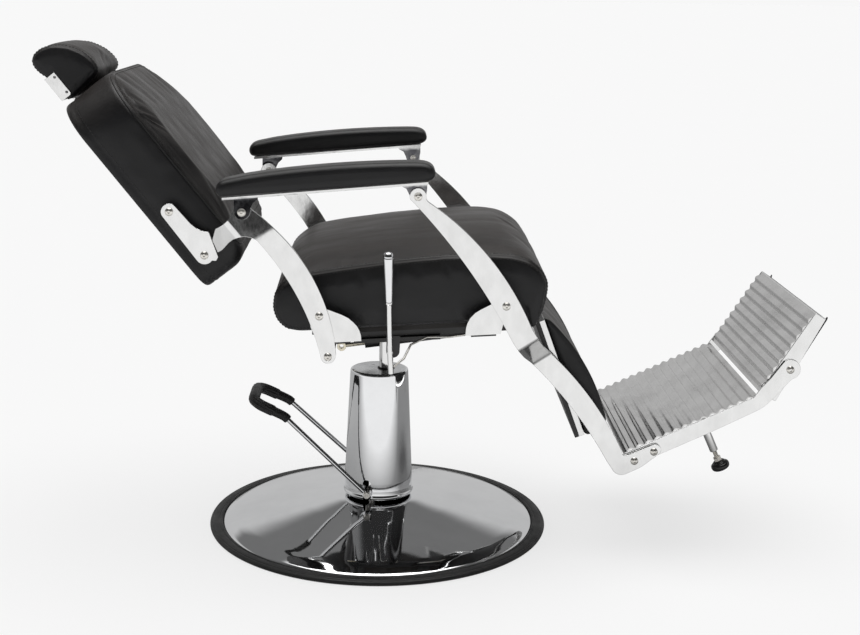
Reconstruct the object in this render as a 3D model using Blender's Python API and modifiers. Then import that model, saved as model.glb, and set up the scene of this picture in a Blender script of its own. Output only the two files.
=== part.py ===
"""Hydraulic barber chair: base, lift, seat, reclining back, swinging legrest and armrests.

Frame: origin on the floor on the base's axis, +X to the front of the chair, +Z up.
The sitter's right side is at -Y. Lengths are in metres.
"""
import math

import bmesh
import bpy
from mathutils import Matrix, Vector

# ---- driving dimensions ------------------------------------------------------------
GAP = 0.0004                      # air between touching solids

BASE_R = 0.330                    # rubber ring, outside
DISH_R = 0.3045                   # chrome dish, outside
NECK_R = 0.0490                   # foot of the pump
COVER_BOTTOM = (0.0684, 0.0635)    # radius, height
COVER_TOP = (0.0560, 0.313)
PISTON_X = 0.013
PISTON_R = 0.0135
PISTON_TOP = 0.376

LEVER_PIVOT = (-0.022, 0.080)
LEVER_ROD_R = 0.0045
LEVER_KNEE = (-0.1800, 0.2310)
LEVER_LOOP = (-0.240, 0.259)

SEAT_SLOPE = math.radians(3.6)    # the seat rises to the front
SEAT_Z = 0.4416                   # height of the bracket flanges above the origin
SEAT_HALF = 0.255

BAR_T = 0.006                     # side bars
BAR_Y = 0.290                     # outer face of the side bars
LEG_Y = 0.206                     # outer face of the front bars below the joggle
BRACKET_T = 0.004

REAR_PIVOT = (-0.103, 0.481)
REAR_ARM_PIVOT = (-0.234, 0.659)
REAR_LOW = (-0.088, 0.409)
FRONT_PIVOT = (0.219, 0.502)
FRONT_ARM_PIVOT = (0.064, 0.690)
FLIP_PIVOT = (0.746, 0.370)

BACK_ANGLE = math.radians(38.5)   # the back leans from the vertical by this
BACK_FOOT = (-0.3035, 0.5105)
BACK_HALF = 0.225
BACK_LENGTH = 0.397
HINGE_Y = 0.2475                  # outer face of the hinge plates

PLATE_ANGLE = math.radians(25.0)  # footplate from the horizontal
PLATE_START = (0.449, 0.2085)
PLATE_LENGTH = 0.262
FLIP_ANGLE = math.radians(57.8)
FLIP_START = (0.6930, 0.3265)
FLIP_LENGTH = 0.176
RIB_PITCH = 0.018
RIB_HEIGHT = 0.0045
SHEET_T = 0.003
PLATE_HALF = 0.1995
FLIP_HALF = 0.1955

CALF_TOP = (0.2953, 0.4597)
CALF_ANGLE = math.radians(69.4)   # the calf pad falls to the front at this angle
CALF_LENGTH = 0.240
CALF_HALF = 0.190

BOLT_HEAD_R = 0.007
BOLT_R = 0.0038
HOLE_R = 0.0043

# ---- clean start and collections ---------------------------------------------------
for old in list(bpy.data.objects):
    bpy.data.objects.remove(old, do_unlink=True)

CHAIR = bpy.data.collections.new("barber_chair")
CUTTERS = bpy.data.collections.new("cutters")
bpy.context.scene.collection.children.link(CHAIR)
bpy.context.scene.collection.children.link(CUTTERS)

LOOKS = {
    "chrome": ((0.80, 0.80, 0.81), 0.08, 1.0),
    "polished_steel": ((0.78, 0.78, 0.77), 0.22, 1.0),
    "ribbed_metal": ((0.62, 0.62, 0.62), 0.25, 1.0),
    "black_vinyl": ((0.020, 0.020, 0.022), 0.45, 0.0),
    "black_steel": ((0.025, 0.025, 0.027), 0.40, 0.0),
    "rubber": ((0.015, 0.015, 0.015), 0.60, 0.0),
    "zinc_bolt": ((0.72, 0.70, 0.66), 0.25, 1.0),
    "plywood": ((0.45, 0.32, 0.20), 0.70, 0.0),
}


def material(node, look):
    """One Principled material for one node."""
    colour, roughness, metallic = LOOKS[look]
    mat = bpy.data.materials.new(node + "_" + look)
    mat.use_nodes = True
    shader = mat.node_tree.nodes["Principled BSDF"]
    shader.inputs["Base Color"].default_value = (*colour, 1.0)
    shader.inputs["Roughness"].default_value = roughness
    shader.inputs["Metallic"].default_value = metallic
    return mat


# ---- shared modelling tools --------------------------------------------------------
def add_object(name, mesh, collection=CHAIR):
    obj = bpy.data.objects.new(name, mesh)
    collection.objects.link(obj)
    return obj


def from_bmesh(name, bm):
    mesh = bpy.data.meshes.new(name)
    bmesh.ops.recalc_face_normals(bm, faces=bm.faces)
    bm.to_mesh(mesh)
    bm.free()
    return add_object(name, mesh)


def bake(obj, weld=True):
    """Replace an object by a plain mesh of what its modifiers or its curve give."""
    graph = bpy.context.evaluated_depsgraph_get()
    mesh = bpy.data.meshes.new_from_object(obj.evaluated_get(graph))
    mesh.transform(obj.matrix_world)
    name = obj.name
    bpy.data.objects.remove(obj, do_unlink=True)
    bm = bmesh.new()
    bm.from_mesh(mesh)
    if weld:
        bmesh.ops.remove_doubles(bm, verts=bm.verts, dist=0.00001)
    bmesh.ops.recalc_face_normals(bm, faces=bm.faces)
    bm.to_mesh(mesh)
    bm.free()
    mesh.name = name
    return add_object(name, mesh)


def boolean(obj, other, operation):
    """Cut, join or intersect obj with other, which is used up."""
    CHAIR.objects.unlink(other)
    CUTTERS.objects.link(other)
    other.hide_render = True
    other.display_type = "WIRE"
    mod = obj.modifiers.new(operation.lower(), "BOOLEAN")
    mod.operation = operation
    mod.solver = "EXACT"
    mod.object = other
    bpy.context.view_layer.update()
    done = bake(obj)
    bpy.data.objects.remove(other, do_unlink=True)
    return done


def cut(obj, other):
    return boolean(obj, other, "DIFFERENCE")


def join(obj, other):
    return boolean(obj, other, "UNION")


def arc(centre, radius, start, end, steps):
    """Points on an arc, angles in degrees."""
    points = []
    for i in range(steps + 1):
        a = math.radians(start + (end - start) * i / steps)
        points.append((centre[0] + radius * math.cos(a), centre[1] + radius * math.sin(a)))
    return points


def angle_to(centre, point):
    return math.degrees(math.atan2(point[1] - centre[1], point[0] - centre[0]))


def plate(name, outline, y_low, y_high):
    """A flat plate: an outline in X and Z, filled and extruded along Y."""
    curve = bpy.data.curves.new(name, "CURVE")
    curve.dimensions = "2D"
    curve.fill_mode = "BOTH"
    curve.extrude = (y_high - y_low) / 2
    spline = curve.splines.new("POLY")
    spline.points.add(len(outline) - 1)
    for point, (x, z) in zip(spline.points, outline):
        point.co = (x, z, 0.0, 1.0)
    spline.use_cyclic_u = True
    obj = add_object(name, curve)
    middle = (y_low + y_high) / 2
    obj.matrix_world = Matrix.Translation((0, middle, 0)) @ Matrix.Rotation(math.pi / 2, 4, "X")
    bpy.context.view_layer.update()
    return bake(obj)


def tube(name, points, radius, resolution=2):
    """A round rod or tube along 3-D points, with capped ends."""
    curve = bpy.data.curves.new(name, "CURVE")
    curve.dimensions = "3D"
    curve.bevel_depth = radius
    curve.bevel_resolution = resolution
    curve.use_fill_caps = True
    spline = curve.splines.new("POLY")
    spline.points.add(len(points) - 1)
    for point, place in zip(spline.points, points):
        point.co = (*place, 1.0)
    obj = add_object(name, curve)
    bpy.context.view_layer.update()
    return bake(obj)


def turned(name, profile, steps, place=(0, 0, 0), turn=None, closed=False):
    """A turned solid: (radius, height) points, top to bottom down the outer side."""
    mesh = bpy.data.meshes.new(name)
    verts = [(r, 0.0, z) for r, z in profile]
    edges = [(i, i + 1) for i in range(len(verts) - 1)]
    if closed:
        edges.append((len(verts) - 1, 0))
    mesh.from_pydata(verts, edges, [])
    obj = add_object(name, mesh)
    screw = obj.modifiers.new("turn", "SCREW")
    screw.axis = "Z"
    screw.steps = steps
    screw.render_steps = steps
    screw.use_merge_vertices = True
    screw.merge_threshold = 0.00001
    matrix = Matrix.Translation(place)
    if turn is not None:
        matrix = matrix @ turn
    obj.matrix_world = matrix
    bpy.context.view_layer.update()
    return bake(obj)


def along_y():
    """Turn a solid's own +Z to -Y, the way a bolt on the right side points."""
    return Matrix.Rotation(math.pi / 2, 4, "X")


def pin(name, centre, radius, y_low, y_high, steps=16):
    """A cylinder along Y."""
    length = y_high - y_low
    profile = [(0, length / 2), (radius, length / 2), (radius, -length / 2), (0, -length / 2)]
    middle = (y_low + y_high) / 2
    return turned(name, profile, steps, (centre[0], middle, centre[1]), along_y())


def box(name, x, y, z, matrix=None):
    """A box between pairs of coordinates, optionally in a tilted frame."""
    bm = bmesh.new()
    bmesh.ops.create_cube(bm, size=1.0)
    size = Vector((x[1] - x[0], y[1] - y[0], z[1] - z[0]))
    middle = Vector((x[1] + x[0], y[1] + y[0], z[1] + z[0])) / 2
    bmesh.ops.scale(bm, vec=size, verts=bm.verts)
    bmesh.ops.translate(bm, vec=middle, verts=bm.verts)
    if matrix is not None:
        bmesh.ops.transform(bm, matrix=matrix, verts=bm.verts)
    return from_bmesh(name, bm)


def drill(obj, centres, y_low, y_high, radius=HOLE_R):
    for centre in centres:
        obj = cut(obj, pin("drill", centre, radius, y_low, y_high, 12))
    return obj


def mirrored(obj, name):
    """The left-hand copy of a right-hand piece."""
    mesh = obj.data.copy()
    mesh.name = name
    mesh.transform(Matrix.Scale(-1.0, 4, (0, 1, 0)))
    mesh.flip_normals()
    return add_object(name, mesh)


def fold(obj, point, normal, slope, x_limit):
    """Lean the part of a plate beyond a line in X and Z, behind x_limit, along Y."""
    bm = bmesh.new()
    bm.from_mesh(obj.data)
    n = Vector((normal[0], 0, normal[1])).normalized()
    start = Vector((point[0], 0, point[1]))
    everything = bm.verts[:] + bm.edges[:] + bm.faces[:]
    bmesh.ops.bisect_plane(bm, geom=everything, plane_co=start, plane_no=n)
    for vert in bm.verts:
        distance = (Vector((vert.co.x, 0, vert.co.z)) - start).dot(n)
        if distance > 0 and vert.co.x < x_limit:
            vert.co.y += slope * distance
    bm.to_mesh(obj.data)
    bm.free()
    return obj


def loft(name, rings):
    """A closed solid through rings of equal point counts, with flat end caps."""
    bm = bmesh.new()
    rows = [[bm.verts.new(p) for p in ring] for ring in rings]
    count = len(rows[0])
    for near, far in zip(rows, rows[1:]):
        for i in range(count):
            j = (i + 1) % count
            bm.faces.new((near[i], near[j], far[j], far[i]))
    bm.faces.new(rows[0])
    bm.faces.new(list(reversed(rows[-1])))
    return from_bmesh(name, bm)


def finish(obj, look, smooth=30.0):
    obj.data.materials.clear()
    obj.data.materials.append(material(obj.name, look))
    obj.data.shade_smooth()
    obj.data.set_sharp_from_angle(angle=math.radians(smooth))
    return obj


def both_sides(obj, stem, look):
    """Finish a right-hand piece and add its left-hand twin."""
    obj.name = stem + "_right"
    left = mirrored(obj, stem + "_left")
    finish(obj, look)
    finish(left, look)


SEAT_FRAME = Matrix.Translation((0, 0, SEAT_Z)) @ Matrix.Rotation(-SEAT_SLOPE, 4, "Y")


def on_back(u, n):
    """A point given up along the back (u) and forward from its rear face (n)."""
    x = BACK_FOOT[0] - u * math.sin(BACK_ANGLE) + n * math.cos(BACK_ANGLE)
    z = BACK_FOOT[1] + u * math.cos(BACK_ANGLE) + n * math.sin(BACK_ANGLE)
    return (x, z)


def on_slope(start, angle, s, h):
    """A point along a sloping line (s) and above it (h)."""
    x = start[0] + s * math.cos(angle) - h * math.sin(angle)
    z = start[1] + s * math.sin(angle) + h * math.cos(angle)
    return (x, z)


def on_calf(s, h):
    """A point down the calf pad (s) and out from its board (h)."""
    x = CALF_TOP[0] + s * math.cos(CALF_ANGLE) + h * math.sin(CALF_ANGLE)
    z = CALF_TOP[1] - s * math.sin(CALF_ANGLE) + h * math.cos(CALF_ANGLE)
    return (x, z)


# ---- base and pump -----------------------------------------------------------------
def make_base():
    finish(turned("base_ballast", [(0, 0.010), (0.280, 0.010), (0.280, 0.0), (0, 0.0)], 40),
           "black_steel")

    ring = [(0.3050, 0.0102), (0.3080, 0.0118), (0.3220, 0.0110), (BASE_R - 0.0015, 0.0085),
            (BASE_R, 0.0055), (BASE_R - 0.0040, 0.0), (0.3020, 0.0), (0.3020, 0.0075),
            (0.3050, 0.0075)]
    finish(turned("base_ring", ring, 48, closed=True), "rubber")

    outer = [(NECK_R + 0.0007, 0.0600), (0.0800, 0.0560), (0.1400, 0.0462), (0.2700, 0.0235),
             (0.2840, 0.0200), (0.2950, 0.0155), (DISH_R - 0.0015, 0.0108), (DISH_R, 0.0080)]
    inner = [(0.3000, 0.0080), (0.2840, 0.0160), (0.2700, 0.0195), (0.1400, 0.0422),
             (0.0800, 0.0520), (NECK_R + 0.0007, 0.0560)]
    finish(turned("base_dish", outer + inner, 48, closed=True), "chrome")


def make_pump():
    profile = [(0, 0.298), (0.0380, 0.298), (0.0400, 0.296), (0.0400, 0.100),
               (NECK_R, 0.096), (NECK_R, 0.0105), (0, 0.0105)]
    pump = turned("pump_cylinder", profile, 40)
    bore = turned("bore", [(0, 0.40), (PISTON_R + GAP, 0.40), (PISTON_R + GAP, 0.130),
                           (0, 0.130)], 24, (PISTON_X, 0, 0))
    pump = cut(pump, bore)
    pump = cut(pump, pin("shaft_bore", LEVER_PIVOT, 0.0054, -0.1, 0.1, 12))
    finish(pump, "chrome")

    cover_profile = [(0, COVER_TOP[1]), (0.0530, COVER_TOP[1]), (0.0552, 0.3122),
                     (COVER_TOP[0], 0.3095), (0.0662, 0.090), (0.0666, 0.078),
                     (COVER_BOTTOM[0], 0.0690), (0.0666, COVER_BOTTOM[1]),
                     (0.0640, COVER_BOTTOM[1]), (0.0638, 0.100), (0.0538, 0.3085),
                     (0.0520, 0.3105), (0, 0.3105)]
    cover = turned("column_cover", cover_profile, 40)
    hole = turned("piston_hole", [(0, 0.35), (PISTON_R + 0.0015, 0.35),
                                  (PISTON_R + 0.0015, 0.30), (0, 0.30)], 24, (PISTON_X, 0, 0))
    cover = cut(cover, hole)
    slot = box("slot", (LEVER_PIVOT[0] - 0.0075, LEVER_PIVOT[0] + 0.0075), (-0.09, 0.09),
               (0.060, 0.104))
    cover = cut(cover, slot)
    finish(cover, "chrome")

    shaft = pin("lever_shaft", LEVER_PIVOT, 0.0050, -0.0800, 0.0800, 16)
    for side in (-1, 1):
        head = pin("head", LEVER_PIVOT, 0.0065, min(side * 0.0785, side * 0.0830),
                   max(side * 0.0785, side * 0.0830), 16)
        shaft = join(shaft, head)
    finish(shaft, "zinc_bolt")


def lever_path():
    """Half of the U-shaped pump lever on the right side, from the hub to the loop."""
    start = Vector((LEVER_PIVOT[0], -0.0735, LEVER_PIVOT[1]))
    knee = Vector((LEVER_KNEE[0], -0.0585, LEVER_KNEE[1]))
    loop = Vector((LEVER_LOOP[0], -0.0570, LEVER_LOOP[1]))
    direction = (loop - knee).normalized()
    direction.y = 0
    bend = 0.024
    points = [start, start.lerp(knee, 0.24) + Vector((0, -0.0005, 0)), knee]
    centre = loop - direction * bend + Vector((0, bend, 0))
    for i in range(7):
        a = math.pi / 2 * i / 6
        points.append(centre + direction * bend * math.sin(a)
                      - Vector((0, 1, 0)) * bend * math.cos(a))
    return points


def make_lever():
    half = lever_path()
    whole = half + [Vector((p.x, -p.y, p.z)) for p in reversed(half)]
    lever = tube("pump_lever", whole, LEVER_ROD_R)
    for side in (-1, 1):
        y = sorted((side * 0.0690, side * 0.0780))
        lever = join(lever, pin("hub", LEVER_PIVOT, 0.0085, y[0], y[1], 16))
    for side in (-1, 1):
        y = sorted((side * 0.060, side * 0.079))
        lever = cut(lever, pin("hub_bore", LEVER_PIVOT, 0.0054, y[0], y[1], 12))
    finish(lever, "chrome")

    direction = (half[2] - half[1]).normalized()
    sleeve_half = [half[2] - direction * 0.010] + half[2:]
    sleeve = sleeve_half + [Vector((p.x, -p.y, p.z)) for p in reversed(sleeve_half)]
    grip = tube("pedal_grip", sleeve, 0.0100, 3)
    core_half = [half[1]] + half[2:]
    core = core_half + [Vector((p.x, -p.y, p.z)) for p in reversed(core_half)]
    grip = cut(grip, tube("core", core, LEVER_ROD_R + 0.0006))
    finish(grip, "rubber")


def make_lift():
    top = PISTON_TOP
    profile = [(0, top), (PISTON_R - 0.0015, top), (PISTON_R, top - 0.0015),
               (PISTON_R, 0.136), (PISTON_R - 0.0015, 0.1345), (0, 0.1345)]
    finish(turned("piston", profile, 32, (PISTON_X, 0, 0)), "chrome")


# ---- seat --------------------------------------------------------------------------
def make_chassis():
    hub = turned("swivel_plate", [(0, 0.402), (0.024, 0.402), (0.024, 0.392), (0.0185, 0.388),
                                  (0.0185, PISTON_TOP + GAP), (0, PISTON_TOP + GAP)],
                 32, (PISTON_X, 0, 0))
    flat = box("flat", (-0.050, 0.110), (-0.120, 0.120), (-0.0480, -0.0404), SEAT_FRAME)
    finish(join(hub, flat), "black_steel")
    rail = box("chassis_rail", (-0.066, 0.235), (-0.110, -0.085), (-0.0400, -0.0100), SEAT_FRAME)
    both_sides(rail, "chassis_rail", "black_steel")
    for name, middle in (("rear_cross_bar", -0.072), ("front_cross_bar", 0.182)):
        bar = box(name, (middle - 0.022, middle + 0.022), (-0.270, 0.270), (-0.0096, -0.0040),
                  SEAT_FRAME)
        finish(bar, "black_steel")
    finish(box("seat_board", (-0.118, 0.250), (-0.235, 0.235), (0.0004, 0.0105), SEAT_FRAME),
           "plywood")


def bracket(stem, outline, flange):
    outer = BAR_Y - BAR_T - GAP
    side = plate(stem, outline, -outer, -outer + BRACKET_T)
    lip = box("lip", flange, (-outer + 0.001, -0.245), (-0.0035, -0.0001), SEAT_FRAME)
    return join(side, lip)


def flange_z(x, h):
    """Height at x of the sloping plane h above the bracket flanges."""
    return SEAT_Z + x * math.tan(SEAT_SLOPE) + h


def make_brackets():
    under = -0.0034
    rear = [(-0.1060, flange_z(-0.1060, under)), (-0.1180, 0.4600)]
    rear += arc(REAR_PIVOT, 0.0170, 170, 40, 6)
    rear += [(-0.0650, 0.4826), (-0.0530, 0.4765), (-0.0449, 0.4697), (-0.0382, 0.4625),
             (-0.0340, 0.4550), (-0.0312, 0.4460), (-0.0305, flange_z(-0.0305, under))]
    obj = bracket("rear_bracket", rear, (-0.1040, -0.0310))
    obj = drill(obj, [REAR_PIVOT], -0.30, -0.26)
    both_sides(obj, "rear_bracket", "polished_steel")

    front = [(0.1495, flange_z(0.1495, under)), (0.2105, flange_z(0.2105, under)),
             (0.2150, 0.4700), (0.2300, 0.4820)]
    front += arc(FRONT_PIVOT, 0.0180, -20, 120, 6)
    front += [(0.1923, 0.5032), (0.1753, 0.4942), (0.1655, 0.4878), (0.1575, 0.4790),
              (0.1528, 0.4700), (0.1505, 0.4610)]
    obj = bracket("front_bracket", front, (0.1500, 0.2100))
    obj = drill(obj, [FRONT_PIVOT], -0.30, -0.26)
    both_sides(obj, "front_bracket", "polished_steel")


def seat_outline(crown, inset):
    """Side view of the seat cushion: crown lifts the top, inset pulls all edges in."""
    low = 0.0110 + inset
    points = [(-0.140 + inset, low), (-0.163 + inset, low + 0.006), (-0.178 + inset, low + 0.023),
              (-0.183 + inset, low + 0.045), (-0.178 + inset, low + 0.072),
              (-0.163 + inset, 0.100 + crown * 0.4 - inset),
              (-0.125 + inset, 0.113 + crown * 0.8 - inset),
              (-0.060, 0.120 + crown - inset), (0.030, 0.1275 + crown - inset),
              (0.120, 0.1315 + crown - inset), (0.200, 0.1308 + crown * 0.9 - inset),
              (0.242 - inset, 0.1260 + crown * 0.75 - inset),
              (0.270 - inset, 0.1160 + crown * 0.5 - inset),
              (0.290 - inset, 0.0990 + crown * 0.3 - inset),
              (0.300 - inset, 0.0770), (0.294 - inset, 0.0430), (0.286 - inset, 0.0170),
              (0.274 - inset, -0.0045 + inset), (0.262, -0.0045 + inset),
              (0.258, low), (0.150, low), (0.0, low)]
    return points


def make_seat_cushion():
    stations = [(-1.0, 0.0, 0.010), (-0.985, 0.0, 0.002), (-0.96, 0.001, 0.0),
                (-0.80, 0.012, 0.0), (-0.45, 0.024, 0.0), (0.0, 0.029, 0.0)]
    stations += [(-y, c, i) for y, c, i in reversed(stations[:-1])]
    rings = []
    for y, crown, inset in stations:
        ring = [SEAT_FRAME @ Vector((x, y * SEAT_HALF, z)) for x, z in seat_outline(crown, inset)]
        rings.append(ring)
    finish(loft("seat_cushion", rings), "black_vinyl", 50)


def make_release():
    pivot = (0.0190, 0.4140)
    hook_outline = [(0.0132, 0.4410), (0.0128, 0.4200)]
    hook_outline += arc((0.0245, 0.4140), 0.0117, 180, 360, 8)
    hook_outline += [(0.0366, 0.4240), (0.0372, 0.4415)]
    hook = plate("release_hook", hook_outline, -0.2660, -0.2630)
    lip = box("lip", (0.014, 0.036), (-0.2655, -0.2300), (-0.0036, -0.0004), SEAT_FRAME)
    hook = join(hook, lip)
    hook = drill(hook, [pivot], -0.28, -0.25, 0.0044)
    finish(hook, "black_steel")

    rod = tube("release_rod", [(0.0215, -0.2760, 0.3800), (0.0190, -0.2760, 0.4140),
                               (0.0167, -0.2760, 0.5030)], 0.0050, 2)
    rod = join(rod, pin("hub", pivot, 0.0085, -0.2810, -0.2670, 16))
    rod = join(rod, pin("journal", pivot, 0.0038, -0.2700, -0.2600, 12))
    finish(rod, "chrome")
    grip = turned("release_grip", [(0, 0.0890), (0.0050, 0.0878), (0.0082, 0.0845), (0.0093, 0.0790),
                                   (0.0090, 0.0720), (0.0066, 0.0200), (0.0062, 0.0), (0, 0.0)],
                  24, (0.0167, -0.2760, 0.5034), Matrix.Rotation(math.radians(-1.4), 4, "Y"))
    finish(grip, "chrome")

    link = [(0.0260, -0.2690, 0.3870), (0.0440, -0.2600, 0.4000), (0.0560, -0.2400, 0.4200),
            (0.0850, -0.2150, 0.4280), (0.1250, -0.2000, 0.4250), (0.1600, -0.1850, 0.4270)]
    finish(tube("release_link", link, 0.0022, 2), "zinc_bolt")


def make_gas_spring():
    """The lockable gas spring lies under the seat on the left of the piston."""
    y = 0.050
    eye = Vector((-0.0750, y, 0.3440))
    front = Vector((0.1900, y, 0.3800))
    axis = (front - eye).normalized()
    body = tube("gas_cylinder", [eye + axis * 0.046, front - axis * 0.006], 0.0105, 4)
    body = cut(body, tube("bore", [eye, eye + axis * 0.200], 0.0048, 3))
    body = join(body, pin("front_eye", (front.x, front.z), 0.0105, y - 0.008, y + 0.008, 20))
    finish(body, "black_steel")
    rod = tube("gas_rod", [eye + axis * 0.006, eye + axis * 0.130], 0.0042, 3)
    rod = join(rod, pin("eye", (eye.x, eye.z), 0.0090, y - 0.008, y + 0.008, 20))
    rod = cut(rod, pin("eye_bore", (eye.x, eye.z), 0.0045, y - 0.02, y + 0.02, 12))
    finish(rod, "zinc_bolt")

    head_box = box("release_head", (0.128, 0.214), (y - 0.016, y + 0.016), (-0.0396, -0.0100),
                      SEAT_FRAME)
    side = box("ear", (0.1805, 0.2050), (y + 0.0086, y + 0.0126), (-0.0800, -0.0200), SEAT_FRAME)
    head = join(head_box, side)
    finish(head, "zinc_bolt")


# ---- reclining rear frame ----------------------------------------------------------
FOLD_KNOT = ((-0.1960, 0.6198), (-0.549, 0.836))
FOLD_LEG = ((-0.2517, 0.6288), (-0.754, -0.656))
KNOT_SLOPE = 0.18
LEG_SLOPE = 0.66


def rear_bar_outline():
    outer = (-0.4058, 0.3888)
    inner = (-0.5500, 0.2984)
    points = arc(outer, 0.3326, angle_to(outer, (-0.0745, 0.4121)),
                 angle_to(outer, (-0.2176, 0.6648)), 12)
    points += arc((-0.2340, 0.6590), 0.0160, 30, 150, 4)
    points += [(-0.2560, 0.6470), (-0.2650, 0.6372), (-0.2740, 0.6305), (-0.2815, 0.6262),
               (-0.2880, 0.6050), (-0.2790, 0.5830), (-0.2700, 0.5895), (-0.2584, 0.6031),
               (-0.2500, 0.6105), (-0.2400, 0.6150), (-0.2300, 0.6172), (-0.2195, 0.6160)]
    points += arc(inner, 0.4630, angle_to(inner, (-0.2087, 0.6121)),
                  angle_to(inner, (-0.1000, 0.4090)), 10)
    points += arc(REAR_LOW, 0.0125, 195, 345, 6)
    return points


def make_rear_frame():
    bar = plate("rear_bar", rear_bar_outline(), -BAR_Y, -BAR_Y + BAR_T)
    bar = drill(bar, [REAR_PIVOT, REAR_LOW, REAR_ARM_PIVOT], -0.32, -0.26)
    fold(bar, *FOLD_KNOT, KNOT_SLOPE, -0.150)
    fold(bar, *FOLD_LEG, LEG_SLOPE, -0.220)
    both_sides(bar, "rear_bar", "polished_steel")

    cross = pin("rear_cross_tube", REAR_LOW, 0.0110, -0.2835, 0.2835, 24)
    for side in (-1, 1):
        shank = sorted((side * 0.2800, side * 0.2920))
        head = sorted((side * 0.2904, side * 0.2944))
        cross = join(cross, pin("shank", REAR_LOW, BOLT_R, shank[0], shank[1], 12))
        cross = join(cross, pin("head", REAR_LOW, BOLT_HEAD_R, head[0], head[1], 16))
    crank_outline = arc(REAR_LOW, 0.0150, 20, 160, 5) + arc((-0.075, 0.344), 0.0100, 200, 340, 5)
    crank = plate("crank", crank_outline, 0.0604, 0.0660)
    finish(join(cross, crank), "black_steel")

    top = (-0.3620, 0.6520)
    low = (-0.3030, 0.5770)
    lean = angle_to(low, top)
    hinge = arc(top, 0.0143, lean + 90, lean - 90, 8)
    hinge += [(-0.3256, 0.6321), (-0.3150, 0.6237), (-0.3050, 0.6190), (-0.2945, 0.6175),
              (-0.2790, 0.5740), (-0.2830, 0.5672)]
    hinge += arc(low, 0.0160, -35, -140, 6)
    obj = plate("hinge_plate", hinge, -HINGE_Y, -HINGE_Y + 0.005)
    obj = drill(obj, [top, low], -0.27, -0.22)
    both_sides(obj, "hinge_plate", "polished_steel")
    for place, label in ((top, "upper"), (low, "lower")):
        bolt = turned("back_bolt", [(0, 0.0042), (0.0045, 0.0038), (BOLT_HEAD_R, 0.0020),
                                    (BOLT_HEAD_R, 0), (BOLT_R, 0), (BOLT_R, -0.0140), (0, -0.0140)],
                      16, (place[0], -HINGE_Y - GAP, place[1]), along_y())
        both_sides(bolt, "back_bolt_" + label, "zinc_bolt")


def rounded_back(n, inset, foot):
    """Front view of the back at depth n: a rectangle with large round top corners."""
    corner = 0.095
    half = BACK_HALF - inset
    top = BACK_LENGTH - inset
    ring = []
    for i in range(9):
        a = math.radians(90 * i / 8)
        ring.append((half - corner + corner * math.cos(a), top - corner + corner * math.sin(a)))
    ring += [(-y, u) for y, u in reversed(ring)]
    ring += [(-half, foot + 0.030), (-half + 0.012, foot + 0.008), (-half + 0.040, foot),
             (half - 0.040, foot), (half - 0.012, foot + 0.008), (half, foot + 0.030)]
    points = []
    for y, u in ring:
        x, z = on_back(u, n)
        points.append((x, y, z))
    return points


def make_back():
    board = [rounded_back(0.0005, 0.006, 0.004), rounded_back(0.0030, 0.0015, 0.001),
             rounded_back(0.0150, 0.0015, 0.001)]
    board = loft("back_board", board)
    cushion_stations = [(0.0245, 0.006, 0.002), (0.030, 0.0, 0.0), (0.075, 0.0, 0.006),
                        (0.090, 0.0015, 0.014), (0.099, 0.008, 0.026), (0.104, 0.022, 0.045),
                        (0.112, 0.060, 0.090), (0.115, 0.100, 0.140)]
    cushion = loft("back_cushion", [rounded_back(*s) for s in cushion_stations])
    # bolts of the hinge plates run into inserts in the cushion's sides
    for side in (-1, 1):
        for place in ((-0.3620, 0.6520), (-0.3030, 0.5770)):
            y = sorted((side * 0.2200, side * 0.2400))
            cushion = cut(cushion, pin("insert", place, HOLE_R, y[0], y[1], 12))
            board = cut(board, pin("insert", place, HOLE_R + 0.0002, y[0], y[1], 12))
    finish(board, "black_vinyl", 40)
    finish(cushion, "black_vinyl", 50)


# ---- headrest ----------------------------------------------------------------------
HEAD_HALF = 0.105


def head_outline(inset):
    """Side view of the headrest: flat rear, round front, measured up the back."""
    centre = (-0.5590, 0.8810)
    points = [(-0.5615, 0.8262), (-0.5510, 0.8300), (-0.5265, 0.8521), (-0.5060, 0.8725),
              (-0.5022, 0.8800), (-0.5040, 0.8890), (-0.5120, 0.9000), (-0.5250, 0.9110),
              (-0.5400, 0.9190), (-0.5560, 0.9243), (-0.5722, 0.9257), (-0.5884, 0.9248),
              (-0.6061, 0.9178), (-0.6187, 0.9070), (-0.6222, 0.8970), (-0.6200, 0.8870),
              (-0.6130, 0.8780), (-0.6028, 0.8698), (-0.5949, 0.8659)]
    shrunk = []
    for x, z in points:
        d = Vector((x - centre[0], z - centre[1]))
        d -= d.normalized() * inset
        shrunk.append((centre[0] + d.x, centre[1] + d.y))
    return shrunk


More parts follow.
